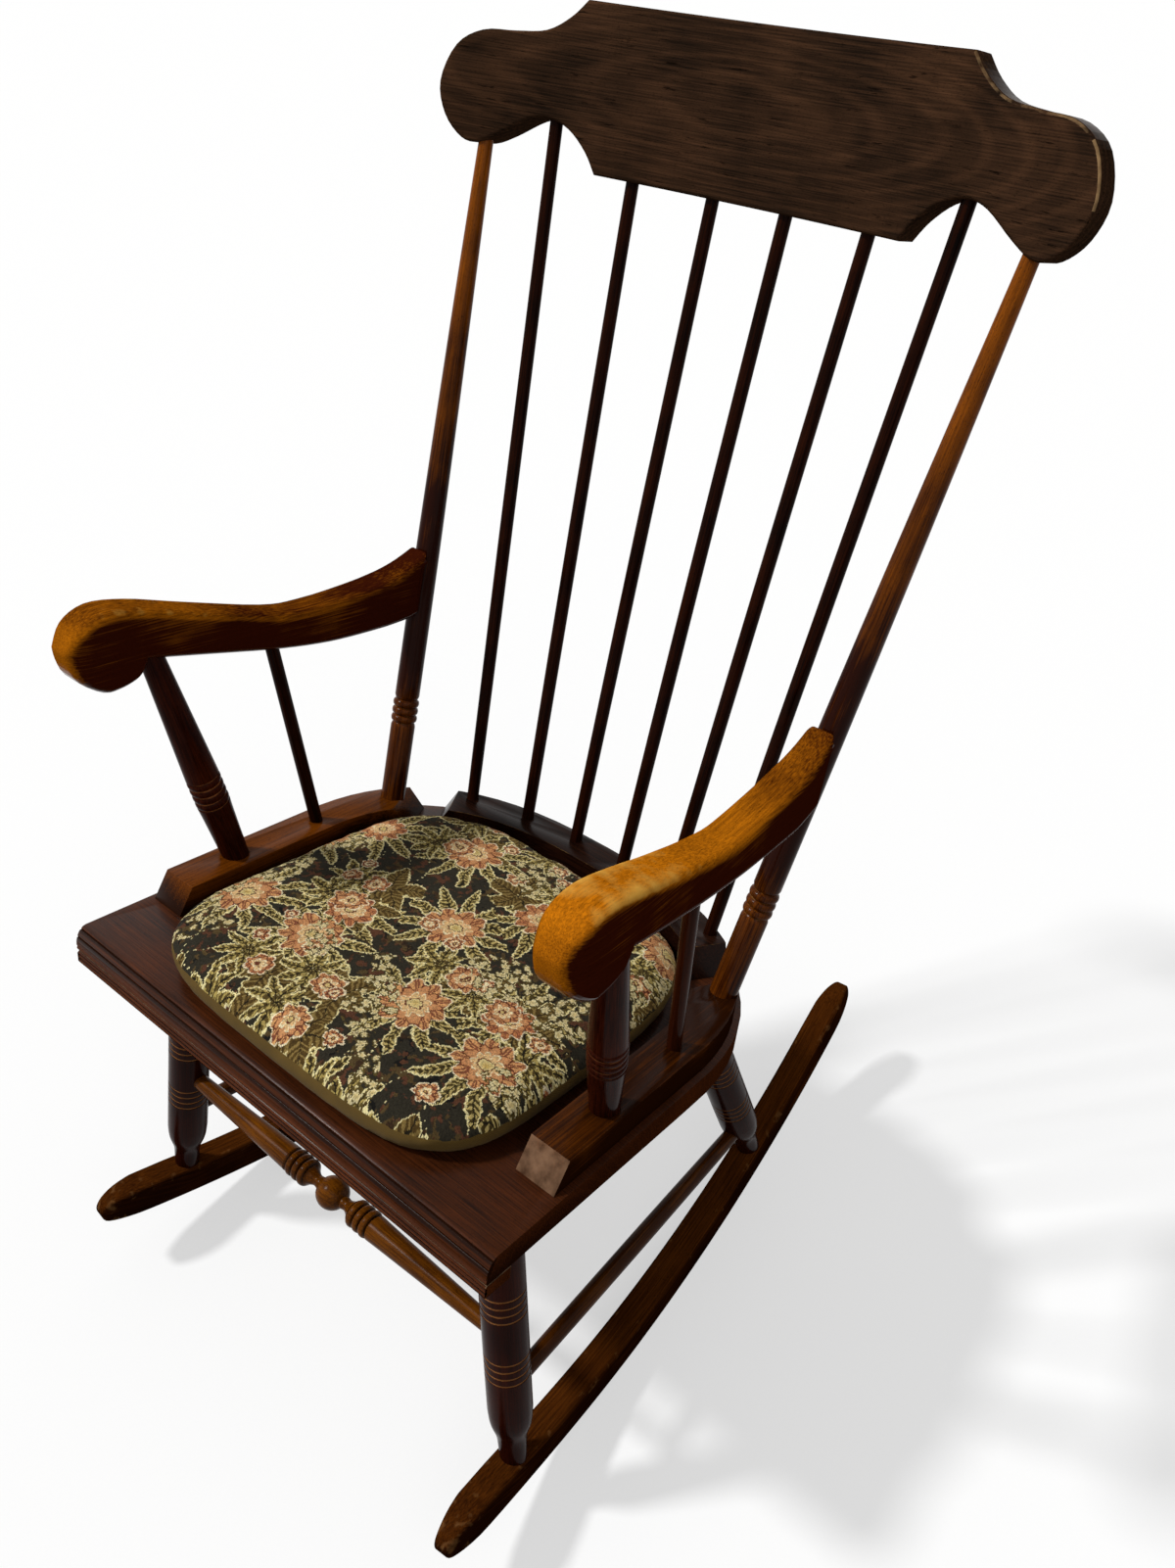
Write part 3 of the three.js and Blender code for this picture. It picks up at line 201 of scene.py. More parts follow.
def world_frame():
    """The seat's own frame in world space, and the level frame that shares its origin."""
    points = [v.co for v in nodes["seat_board"].data.vertices]
    top = max(p.z for p in points)
    corner = [p for p in points if p.z > top - MERGE]
    origin = Matrix.Translation((0, sum(p.y for p in corner) / len(corner), top))
    return origin @ Matrix.Rotation(-SEAT_TILT, 4, "X"), origin


SEAT, LEVEL = world_frame()
TO_SEAT = SEAT.inverted()
SEAT_UP = SEAT.to_3x3() @ UPWARDS


def smooth_line(points, steps):
    """A soft curve through the points, with the given steps between each two."""
    made = []
    last = len(points) - 1
    for i in range(last):
        a, b, c, d = (Vector(points[min(max(i + k, 0), last)]) for k in (-1, 0, 1, 2))
        for step in range(steps):
            t = step / steps
            made.append(0.5 * (2 * b + (c - a) * t + (2 * a - 5 * b + 4 * c - d) * t**2
                               + (3 * b - a - 3 * c + d) * t**3))
    return made + [Vector(points[-1])]


def smoothstep(low, high, value):
    share = min(max((value - low) / (high - low), 0), 1)
    return share * share * (3 - 2 * share)


def unworn(points, steps):
    """A soft stretch of a turned profile, without wear."""
    return [(*p, 0) for p in smooth_line(points, steps)]


# Meshes
def new_object(name, data):
    made = bpy.data.objects.new(name, data)
    bpy.context.scene.collection.objects.link(made)
    return made


def cad_mesh(name):
    """A copy of a CAD node's mesh with its corners merged."""
    bm = bmesh.new()
    bm.from_mesh(nodes[name].data)
    bmesh.ops.remove_doubles(bm, verts=bm.verts, dist=MERGE)
    return bm


def mesh_object(name, bm):
    mesh = bpy.data.meshes.new(name)
    bm.to_mesh(mesh)
    bm.free()
    return new_object(name, mesh)


def new_layers(bm):
    """Every piece carries its grain's own coordinates, its tone and its wear for the materials.
    On the arms, runners and seat front the tone also holds painted light and shade.
    """
    return (bm.verts.layers.float_vector.new("grain"), bm.verts.layers.float.new("tone"),
            bm.verts.layers.float.new("wear"))


def finish_piece(bm, name, material, cad_names, sharp=38, polished=None, flat_over=math.inf):
    """Makes the object of a finished bmesh, lets it stand for its CAD nodes and ride the chair.
    Polish lies on the faces that look along the given direction, and the others stay dull.
    Faces with a larger area than flat_over are shaded flat."""
    bmesh.ops.recalc_face_normals(bm, faces=bm.faces)
    if polished:
        dull = bm.faces.layers.float.new("dull")
        bm.normal_update()
        for face in bm.faces:
            face[dull] = 1 - smoothstep(*POLISH, face.normal.dot(polished))
    for face in bm.faces:
        face.smooth = face.calc_area() < flat_over
    piece = mesh_object(name, bm)
    piece.data.set_sharp_from_angle(angle=math.radians(sharp))
    piece.data.materials.append(material)
    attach(piece, "chair")
    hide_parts(*cad_names)
    return piece


def ends_of(name):
    """The middle of each end of a round CAD piece and its length."""
    points = np.array(sorted({tuple(round(c, 6) for c in v.co) for v in nodes[name].data.vertices}))
    middle = points.mean(0)
    along = (points - middle) @ np.linalg.svd(points - middle)[2][0]
    end_zone = 0.5 * MM
    ends = [Vector(points[along < along.min() + end_zone].mean(0)),
            Vector(points[along > along.max() - end_zone].mean(0))]
    return ends, (ends[1] - ends[0]).length


def along_matrix(start, end):
    turn = UPWARDS.rotation_difference((end - start).normalized())
    return Matrix.Translation(start) @ turn.to_matrix().to_4x4()


def turned(name, profile_for, material, towards=UPWARDS, tone_for=None, phase=0.0):
    """Turned work in place of a round CAD piece. The profile is (mm along, mm radius, wear) and
    runs towards the given direction."""
    (start, end), length = ends_of(name)
    if (end - start).dot(towards) < 0:
        start, end = end, start
    profile = profile_for(length / MM)
    bm = bmesh.new()
    grain, tone, wear = new_layers(bm)
    line = []
    for height, radius, worn in [(profile[0][0], 0, 0), *profile, (profile[-1][0], 0, 0)]:
        corner = bm.verts.new((radius * MM, 0, height * MM))
        corner[wear] = worn
        line.append(corner)
    edges = [bm.edges.new(pair) for pair in zip(line, line[1:])]
    steps = bpy.context.scene.chair_sizes.turned_steps
    bmesh.ops.spin(bm, geom=line + edges, cent=(0, 0, 0), axis=(0, 0, 1), angle=math.tau,
                   steps=steps, use_merge=True)
    bmesh.ops.remove_doubles(bm, verts=bm.verts, dist=0.1 * MERGE)
    for v in bm.verts:
        v[grain] = Vector((v.co.z + phase, v.co.x, v.co.y))
        v[tone] = tone_for(v.co.z / length) if tone_for else 0.5
    bm.transform(along_matrix(start, end))
    return finish_piece(bm, name + "_turned", material, [name])


def beads(count, start, pitch, neck, radius, worn):
    """A row of half-round beads, with the worn colour in the dips between them: rubbed on the
    posts, and painted shade on the front stretcher.
    """
    points = []
    for number in range(count):
        for step in range(BEAD_STEPS + 1):
            share = step / BEAD_STEPS
            bulge = math.sqrt(max(1 - (2 * share - 1) ** 2, 0))
            points.append((start + pitch * number + pitch * share, neck + (radius - neck) * bulge,
                           worn * (bulge < 0.5)))
    return points


def scribed(centre):
    """A band of rings scribed in a leg, bright where the varnish is cut through."""
    points = []
    for ring in range(SCRIBED_RINGS):
        middle = centre + SCRIBED_PITCH * (ring - (SCRIBED_RINGS - 1) / 2)
        for share, deep in ((-0.5, 0), (-0.25, 1), (0.25, 1), (0.5, 0)):
            points.append((middle + SCRIBED_WIDTH * share, LEG_RADIUS - SCRIBED_DEPTH * deep, deep))
    return points


def bevel(bm, edges, width, segments, clamp=False):
    return bmesh.ops.bevel(bm, geom=edges, offset=width, offset_type="OFFSET", segments=segments,
                           profile=0.5, affect="EDGES", material=-1, clamp_overlap=clamp)


def ease_edges(bm, edges, ease, segments, clamp=False):
    """Rounds the edges over, and marks the new faces in a layer for the wear of edges."""
    edge_wear = bm.faces.layers.float.new("edge_wear")
    for face in bevel(bm, edges, ease, segments, clamp)["faces"]:
        face[edge_wear] = 1
    return edge_wear


def plank(outline, thickness, ease, segments):
    """A board cut to an outline in its X and Y, with its thickness along Z and eased edges."""
    bm = bmesh.new()
    line = [bm.verts.new((x, y, 0)) for x, y in outline]
    edges = [bm.edges.new(pair) for pair in zip(line, line[1:] + line[:1])]
    made = bmesh.ops.extrude_edge_only(bm, edges=edges)["geom"]
    far = [e for e in made if isinstance(e, bmesh.types.BMVert)]
    far_edges = [e for e in made if isinstance(e, bmesh.types.BMEdge)
                 and all(v in far for v in e.verts)]
    bmesh.ops.translate(bm, vec=(0, 0, thickness), verts=far)
    bmesh.ops.edgeloop_fill(bm, edges=edges)
    bmesh.ops.edgeloop_fill(bm, edges=far_edges)
    bmesh.ops.recalc_face_normals(bm, faces=bm.faces)
    rims = [e for e in bm.edges if abs(e.verts[0].co.z - e.verts[1].co.z) < 0.01 * MERGE]
    ease_edges(bm, rims, ease, segments)
    return bm


def cut(bm, place, normal, near):
    bmesh.ops.bisect_plane(bm, geom=bm.verts[:] + bm.edges[:] + bm.faces[:], dist=near,
                           plane_co=place, plane_no=normal)


def slice_up(bm, spacing, axis=0):
    """Cuts a plank across at even steps, so that it can be bent."""
    normal = Vector((axis == 0, axis == 1, axis == 2))
    low = min(v.co[axis] for v in bm.verts)
    high = max(v.co[axis] for v in bm.verts)
    count = int((high - low) / spacing)
    for step in range(1, count):
        cut(bm, normal * (low + (high - low) * step / count), normal, 0.01 * MERGE)


def cut_grooves(bm, heights):
    """Cuts a V-groove along each of a board's edges that lies at one of the seat heights."""
    near = 0.3 * MM
    inwards = SEAT.to_3x3() @ Vector((0, 0.6, -0.8))
    for height in heights:
        lines = [e for e in bm.edges if all(abs((TO_SEAT @ v.co).z - height) < near
                                            and (TO_SEAT @ v.co).y < 0 for v in e.verts)]
        low = {tuple(v.co) for e in lines for v in e.verts}
        made = bevel(bm, lines, GROOVE_WIDTH / 2, 2)["verts"]
        middle = [v for v in made if min((v.co - Vector(p)).length for p in low) < near]
        bmesh.ops.translate(bm, vec=inwards * GROOVE_DEPTH, verts=middle)


def eased_copy(name, material, ease, along="x", tone_for=None, rub_and_sheen_for=None, grooves=()):
    """A copy of a CAD node with worn, eased edges."""
    bm = cad_mesh(name)
    bmesh.ops.dissolve_limit(bm, angle_limit=math.radians(0.4), verts=bm.verts, edges=bm.edges)
    cut_grooves(bm, grooves)
    grain, tone, _ = new_layers(bm)
    rims = [e for e in bm.edges if e.is_manifold and e.is_convex
            and e.calc_face_angle(0) > math.radians(BOARD_EDGE) and e.calc_length() > ease * 1.5]
    edge_wear = ease_edges(bm, rims, ease, 2, clamp=True)
    bm.normal_update()
    if rub_and_sheen_for:
        for face in bm.faces:
            face[edge_wear] = rub_and_sheen_for(TO_SEAT.to_3x3() @ face.normal, face[edge_wear])
    for v in bm.verts:
        local = TO_SEAT @ v.co
        v[grain] = local if along == "x" else Vector((local.y, local.x, local.z))
        v[tone] = tone_for(local) if tone_for else 0.5
    return finish_piece(bm, name + "_eased", material, [name], sharp=30, polished=UPWARDS,
                        flat_over=BOARD_FACE)


# Materials
WHITE = (1, 1, 1, 1)


def add(tree, kind, *values, **settings):
    """Adds a shader node, whose kind may end in a dot and its operation. Values fill its inputs
    in order. So do settings by name where the name starts with a capital letter."""
    kind, _, operation = kind.partition(".")
    made = tree.nodes.new("ShaderNode" + kind)
    if operation:
        made.operation = operation
    filled = dict(enumerate(values))
    for name, value in settings.items():
        if name[0].isupper():
            filled[name] = value
        else:
            setattr(made, name, value)
    for key, value in filled.items():
        if isinstance(value, bpy.types.Node):
            value = value.outputs[0]
        if isinstance(value, bpy.types.NodeSocket):
            tree.links.new(value, made.inputs[key])
        elif value is not None:
            made.inputs[key].default_value = value
    return made


def node_adder(owner):
    """Clears the nodes of a material or world. The result adds new ones."""
    owner.use_nodes = True
    owner.node_tree.nodes.clear()
    return partial(add, owner.node_tree)


def new_material(name):
    material = bpy.data.materials.new(name)
    return material, node_adder(material)


def close_material(node, base, roughness, bump, distance, glow=None, **constants):
    """Joins a pattern to the shader: colour, roughness and relief, and a share of white glow."""
    relief = node("Bump", Height=bump, Distance=distance, Strength=1.0)
    shader = node("BsdfPrincipled", base, Roughness=roughness, Normal=relief, **constants)
    if glow is not None:
        shader = node("MixShader", glow, shader, node("Emission", WHITE, 1.0))
    node("OutputMaterial", shader)


def rays_that_see_white(node):
    """One for camera, glossy and transmission rays, so that polish shows the white studio too."""
    ray = node("LightPath")
    seen = node("Math.MAXIMUM", ray.outputs["Is Camera Ray"], ray.outputs["Is Glossy Ray"])
    return node("Math.MAXIMUM", seen, ray.outputs["Is Transmission Ray"])


def rgba(tint, share=1):
    """The value of a colour socket, for an sRGB hex colour or a share of a linear colour."""
    rgb = srgb(tint) if isinstance(tint, str) else tint
    return (*(c * share for c in rgb), 1)


def stained_beech(part, stain, pale, gloss, sheen, streaks=0.5, worn="b98a4c", rings=0.08,
                  ring_mm=7.0, edges=0.42, scuffs=0.25):
    """Stained beech under a satin varnish: fine straight grain, soft growth rings and the short
    dark flecks of its rays. Stain lies unevenly, and goes pale where hands and feet wear it.
    The same worn colour also paints the shade in the stretcher's bead dips and a block's sheen."""
    material, node = new_material("stained beech, " + part)
    stain = getattr(bpy.context.scene.chair_colours, stain)
    coords = node("Attribute", attribute_name="grain").outputs["Vector"]
    tone, wear, edge, dull = (node("Attribute", attribute_name=name).outputs["Fac"]
                              for name in ("tone", "wear", "edge_wear", "dull"))
    # Streaks run about 60 mm along the grain and 1.2 mm across it
    long_lines = node("Mapping", coords, Scale=(16, 820, 820))
    lines = node("TexNoise", long_lines, Scale=1.0, Detail=3.0)
    streak = node("MapRange", lines, 0.32, 0.68)
    # Rays show as flecks 2.5 mm long and 0.5 mm wide, drawn as coarse as they need to show
    short_lines = node("Mapping", coords, Scale=(380, 1900, 1900))
    rays = node("TexNoise", short_lines, Scale=1.0, Detail=1.0)
    fleck = node("MapRange", rays, 0.6, 0.7, interpolation_type="SMOOTHSTEP")
    # Growth rings of a few mm about a pith that lies outside the board
    bent = node("TexNoise", coords, Scale=5.0, Detail=3.0, Roughness=0.4)
    pith = node("Mapping", coords, Location=(0.01, -0.07, 0.05), Scale=(0.2, 1, 1))
    reach = node("VectorMath.LENGTH", pith).outputs["Value"]
    radius = node("Math.ADD", reach, node("Math.MULTIPLY", bent, 0.018))
    turns = node("Math.MULTIPLY", radius, math.tau / (ring_mm * MM))
    ring = node("MapRange", node("Math.SINE", turns), 0.1, 1.0)
    blotch = node("TexNoise", coords, Scale=14.0, Detail=3.0)
    # Tone of the stain, with the painted light and shade that some pieces add to it
    line_part = node("Math.MULTIPLY", streak, streaks)
    ring_part = node("Math.MULTIPLY_ADD", ring, rings, line_part)
    blotch_part = node("Math.MULTIPLY_ADD", blotch, 1.0, ring_part)
    share = node("MapRange", node("Math.ADD", blotch_part, tone), 0.9, 2.0)
    body = node("MixRGB", share, rgba(stain), rgba(pale))
    between = node("MapRange", streak, 0.0, 1.0, 0.25, 0.0)
    fleck_share = node("Math.MULTIPLY_ADD", fleck, 0.5, between)
    lined = node("MixRGB", fleck_share, body, rgba(stain, 0.3))
    # Old scuffs, 20 to 40 mm long and 2 mm wide, lie along the grain and have gone dark
    drawn_out = node("Mapping", coords, Scale=(26, 330, 330))
    dashes = node("TexNoise", drawn_out, Scale=1.0, Detail=4.0, Roughness=0.7)
    scuffed = node("MapRange", dashes, 0.61, 0.66, 0.0, scuffs)
    lined = node("MixRGB", scuffed, lined, rgba(stain, 0.3))
    # Wear, broken up along the grain; it also carries the stretcher's painted shade and a block's
    # painted sheen
    patch = node("TexNoise", coords, Scale=90.0, Detail=5.0)
    most = node("Math.MAXIMUM", wear, node("Math.MULTIPLY", edge, edges))
    worn_share = node("MapRange", node("Math.ADD", most, patch), 0.82, 1.35, 0.0, 0.85)
    final = node("MixRGB", worn_share, lined, rgba(worn))
    rough = node("MapRange", blotch, 0.3, 0.7, gloss - 0.05, gloss + 0.09)
    grain_height = node("Math.MULTIPLY_ADD", streak, 0.5, rays)
    # The sides drink the varnish, and only the rubbed faces shine
    shine = node("Math.MULTIPLY_ADD", dull, -sheen, sheen)
    close_material(node, final, rough, grain_height, 0.04 * MM,
                   **{"IOR": 1.5, "Specular IOR Level": shine})
    return material


def scatter(node, point, seed, cell, count):
    """One motif in each cell of a loose net, with petals or leaves about its middle. Gives the
    distance from the middle, the share of half a petal's angle and two random numbers."""
    moved = node("VectorMath.ADD", point, (seed * 7.31 * MM, seed * 3.77 * MM, 0))
    net = node("TexVoronoi", moved, Scale=1 / (cell * MM), Randomness=0.8,
               feature="F1", voronoi_dimensions="2D")
    off = node("VectorMath.SUBTRACT", moved, net.outputs["Position"])
    split = node("SeparateXYZ", off)
    chance = node("SeparateColor", net.outputs["Color"]).outputs
    angle = node("Math.ARCTAN2", split.outputs["Y"], split.outputs["X"])
    turn = node("Math.MULTIPLY_ADD", chance["Red"], math.tau, angle)
    slot = node("Math.MULTIPLY", turn, count / math.tau)
    aside = node("Math.SUBTRACT", node("Math.FRACT", slot), 0.5)
    return {"petal": node("Math.MULTIPLY", node("Math.ABSOLUTE", aside), 2.0),
            "away": node("VectorMath.LENGTH", off).outputs["Value"], "count": count,
            "chance": chance["Green"], "lot": chance["Blue"]}


def blossom(node, motif, size, lobes, between=False):
    """The inside, the outline and the share of radius of a round of petals."""
    petal = node("Math.SUBTRACT", 1.0, motif["petal"]) if between else motif["petal"]
    dip = node("Math.MULTIPLY_ADD", node("Math.POWER", petal, 2.0), -lobes, 1.0)
    grown = node("MapRange", motif["chance"], 0.0, 1.0, size * 0.75 * MM, size * 1.1 * MM)
    reach = node("Math.MULTIPLY", dip, grown)
    share = node("Math.DIVIDE", motif["away"], reach)
    line = node("Math.LESS_THAN", node("Math.SUBTRACT", reach, motif["away"]), PATTERN_LINE)
    return node("Math.LESS_THAN", share, 1.0), line, share


def leaves(node, motif, size, width):
    """The inside, the outline, the rib and the barbs of a spray of pointed leaves."""
    share = node("Math.MULTIPLY", motif["away"], 1 / (size * MM))
    left = node("Math.SUBTRACT", 1.0, share)
    ends = node("Math.MULTIPLY", share, node("Math.MAXIMUM", left, 0.0))
    full = node("Math.MULTIPLY", node("Math.POWER", ends, 0.6), width * 2.3 * MM)
    arc = node("Math.MULTIPLY", motif["away"], math.pi / motif["count"])
    aside = node("Math.MULTIPLY", motif["petal"], arc)
    barbs = node("Math.SUBTRACT", motif["away"], aside)
    wave = node("Math.SINE", node("Math.MULTIPLY", barbs, math.tau / (5.2 * MM)))
    edge = node("Math.MULTIPLY_ADD", wave, 0.5 * MM, full)
    depth = node("Math.SUBTRACT", edge, aside)
    return (node("Math.GREATER_THAN", depth, 0.0), node("Math.LESS_THAN", depth, PATTERN_LINE),
            node("Math.LESS_THAN", aside, 0.6 * MM), node("Math.GREATER_THAN", wave, 0.25))


def tapestry():
    """Jacquard-woven cotton tapestry: flowers and leaves in thick dull threads on a near-black
    ground. The weave breaks every outline into steps, and nothing in it shines."""
    material, node = new_material("woven cotton tapestry")
    place = node("TexCoord").outputs["Object"]
    flat = node("Mapping", place, Rotation=(SEAT_TILT, 0, 0))
    # Threads are about 0.7 mm apart, drawn at 0.9 mm so that they show
    woven = node("VectorMath.SNAP", flat, (0.9 * MM, 0.9 * MM, 1.0))
    stir = node("TexNoise", woven, Scale=60.0, Detail=2.0)
    push = node("VectorMath.SUBTRACT", stir.outputs["Color"], (0.5, 0.5, 0.5))
    small = node("VectorMath.SCALE", push, Scale=13 * MM)
    point = node("VectorMath.ADD", woven, small).outputs[0]
    thread = node("TexWhiteNoise", woven, noise_dimensions="3D").outputs["Value"]
    # Ground: near-black with brown clouds and small dim leaves
    shade = node("TexNoise", point, Scale=26.0, Detail=2.0)
    dim = node("MapRange", shade, 0.49, 0.53)
    result = node("MixRGB", dim, rgba("141310"), rgba("3e2c1c"))
    for seed, cell, tint in ((1, 17, "554428"), (6, 21, "5c3a28"), (9, 15, "302c22")):
        inside, *_ = leaves(node, scatter(node, point, seed, cell, 5), 10, 3.2)
        result = node("MixRGB", inside, result, rgba(tint))
    # Sprays of feathery leaves, and broad leaves with pale outlines: net and count of leaves,
    # share left out, length and width, deep and light green
    sprays = ((0, 104, 11, 0.0, 62, 6.6, "4f4120", "c6b06c"),
              (3, 74, 5, 0.3, 38, 11.0, "54401e", "8c7440"),
              (8, 68, 8, 0.35, 31, 5.4, "5c4b26", "b8a25c"))
    for *net, rarity, size, width, deep, light in sprays:
        motif = scatter(node, point, *net)
        kept = node("Math.GREATER_THAN", motif["lot"], rarity)
        inside, line, rib, barb = leaves(node, motif, size, width)
        green = node("MixRGB", barb, rgba(deep), rgba(light))
        veined = node("MixRGB", rib, green, rgba("231e12"))
        edged = node("MixRGB", line, veined, rgba("f2e4a8"))
        result = node("MixRGB", node("Math.MULTIPLY", inside, kept), result, edged)
    # Peonies in rounds of petals, and smaller flowers in some of the cells: net, count of petals,
    # share left out and radius
    for *net, rarity, size in ((0, 104, 9, 0.0, 30), (5, 72, 7, 0.4, 17), (11, 50, 6, 0.6, 10)):
        motif = scatter(node, point, *net)
        kept = node("Math.GREATER_THAN", motif["lot"], rarity)
        inside, line, _ = blossom(node, motif, size, 0.3)
        warm = node("MixRGB", motif["chance"], rgba("cc8250"), rgba("e0a86c"))
        ribs = node("Math.SINE", node("Math.MULTIPLY", motif["petal"], 11.0))
        head = node("MixRGB", node("Math.GREATER_THAN", ribs, 0.45), warm, rgba("8c5038"))
        head = node("MixRGB", line, head, rgba("f4e4be"))
        rounds = ((0.74, 0.35, True, "e6b27c", "cc8a58"), (0.48, 0.4, False, "f6dea2", "e2b076"),
                  (0.24, 0.2, True, "c8a04c", "f2e2a4"))
        for part, lobes, between, middle, rim in rounds:
            within, border, inner = blossom(node, motif, size * part, lobes, between)
            blend = node("MixRGB", inner, rgba(middle), rgba(rim))
            bordered = node("MixRGB", border, blend, rgba("6e3a28" if between else "f6e6ba"))
            head = node("MixRGB", within, head, bordered)
        result = node("MixRGB", node("Math.MULTIPLY", inside, kept), result, head)
    # Clusters of small cream blossoms
    inside, line, share = blossom(node, scatter(node, point, 2, 10, 5), 5.6, 0.35)
    where = node("TexNoise", point, Scale=15.0, Detail=0.0)
    shown = node("Math.MULTIPLY", node("Math.GREATER_THAN", where, 0.6), inside)
    gold = node("MixRGB", share, rgba("c8ae68"), rgba("f6ecc0"))
    edged = node("MixRGB", line, gold, rgba("5e4f28"))
    result = node("MixRGB", shown, result, edged)
    # Each thread lies a little lighter or darker
    spread = node("MapRange", thread, 0.0, 1.0, 0.5, 1.15)
    final = node("VectorMath.SCALE", result, Scale=spread)
    weave = node("TexWave", flat, Scale=350.0, bands_direction="X")
    rough = node("MapRange", thread, 0.0, 1.0, 0.82, 0.98)
    close_material(node, final, rough, node("Math.MULTIPLY", weave, thread), 0.3 * MM,
                   **{"Specular IOR Level": 0.1})
    return material


def band_cloth(stain):
    """Plain-woven cotton twill for the pad's side: one dull olive colour with a fine rib."""
    material, node = new_material("plain cotton side band")
    place = node("TexCoord").outputs["Object"]
    # Ribs are 0.6 mm apart, drawn at 1 mm
    rib = node("TexWave", place, Scale=300.0, Distortion=0.4,
               bands_direction="DIAGONAL")
    cloud = node("TexNoise", place, Scale=60.0, Detail=3.0)
    share = node("Math.MULTIPLY_ADD", rib, 0.35, cloud)
    base = node("MixRGB", share, rgba(stain, 0.6), rgba(stain, 1.25))
    rough = node("MapRange", cloud, 0.3, 0.7, 0.85, 0.95)
    close_material(node, base, rough, rib, 0.2 * MM,
                   **{"Specular IOR Level": 0.08, "Sheen Weight": 0.03})
    return material


def steel():
    """Zinc-plated steel screw: a dull grey metal with turning marks."""
    material, node = new_material("zinc-plated steel")
    place = node("TexCoord").outputs["Object"]
    marks = node("TexNoise", place, Scale=900.0, Detail=2.0)
    base = node("MixRGB", marks, rgba("6f6e6a"), rgba("9d9c96"))
    rough = node("MapRange", marks, 0.0, 1.0, 0.35, 0.55)
    close_material(node, base, rough, marks, 0.05 * MM, Metallic=1.0)
    return material


def bare_beech():
    """Bare planed beech of the hidden dowels: pale and matt with fine lines."""
    material, node = new_material("bare beech dowel")
    place = node("TexCoord").outputs["Object"]
    lines = node("Mapping", place, Scale=(900, 30, 900))
    streak = node("TexNoise", lines, Scale=1.0, Detail=3.0)
    base = node("MixRGB", streak, rgba("a77f4a"), rgba("d5b27c"))
    rough = node("MapRange", streak, 0.0, 1.0, 0.6, 0.8)
    close_material(node, base, rough, streak, 0.1 * MM)
    return material


# Operators, one for each group of pieces
class CHAIR_OT_seat(bpy.types.Operator):
    """Seat board and the reeded moulding under its front edge"""

    bl_idname = "chair.seat"
    bl_label = "Seat"

    def execute(self, context):
        material = stained_beech("seat", "seat", "5e2e12", 0.27, 0.08, worn="8c7458", edges=0.55)

        def tone_for(p):
            """Painted shade darkens the grooves and the dips of the moulding, and the reeds between
            them are rubbed lighter.
            """
            reeded = p.z < -17 * MM
            reed = smoothstep(9.3 * MM, 10.5 * MM, -p.y) * reeded
            # Painted shade along the two grooves of the roll
            groove = any(abs(p.z - height + 0.9 * MM) < 0.4 * MM for height in ROLL_GROOVES)
            return 0.5 + (p.y < 0) * (0.45 * reed - 0.5 * (reeded and not reed) - 0.7 * groove)

        ease = context.scene.chair_sizes.seat_ease
        for name, grooves in (("seat_board", ROLL_GROOVES), ("front_moulding", ())):
            eased_copy(name, material, ease, tone_for=tone_for, grooves=grooves)
        return {"FINISHED"}


class CHAIR_OT_blocks(bpy.types.Operator):
    """Raised blocks round the seat"""

    bl_idname = "chair.blocks"
    bl_label = "Blocks"

    def execute(self, context):
        ease = context.scene.chair_sizes.seat_ease
        # The worn colour also paints a sheen on the right block's front face
        amber = stained_beech("side blocks", "block", "8a4708", 0.22, 0.05, streaks=0.25,
                              worn="8e6c52", edges=0.6)
        dark = stained_beech("back block", "dark", "33190d", 0.25, 0.07)

        def rub_and_sheen_for(normal, edge):
            """Feet and knees rub the front end, and most of all the edge above it. The front face's
            pale grey-brown is partly a painted sheen.
            """
            if edge:
                return 1.7 if -0.8 < normal.y < -0.1 and normal.z > 0.55 else 0.8
            # The front face takes the worn colour as wear and as a painted sheen
            return 1.0 if normal.y < -0.8 and normal.z > 0.4 else 0

        for side in SIDES:
            tone = 0.75 if side == "left" else 0.25

            def tone_for(p, tone=tone):
                return tone * smoothstep(6 * MM, 24 * MM, p.z)

            piece = eased_copy("side_block_" + side, amber, ease, along="y", tone_for=tone_for,
                               rub_and_sheen_for=rub_and_sheen_for if side == "right" else None)
        eased_copy("back_block", dark, ease)
        return {"FINISHED"}


class CHAIR_OT_spindles(bpy.types.Operator):
    """Six back spindles and the two under the arms"""

    bl_idname = "chair.spindles"
    bl_label = "Spindles"

    def execute(self, context):
        dark = stained_beech("spindles", "dark", "3a1606", 0.15, 0.022)

        def back_profile(total):
            return unworn([(0, 5.9), (total * 0.2, 6.2), (total * 0.4, 6.3), (total * 0.7, 6.0),
                           (total, 5.6)], 3)

        def arm_profile(total):
            return [(0, 6.2, 0), (total / 2, 6.3, 0), (total, 6.2, 0)]

        for number in range(1, 7):
            piece = turned(f"spindle_{number}", back_profile, dark, phase=number * 0.7)
        for side in SIDES:
            piece = turned("arm_spindle_" + side, arm_profile, dark,
                           tone_for=lambda share: 0.5 + 0.6 * (side == "right"))
        return {"FINISHED"}


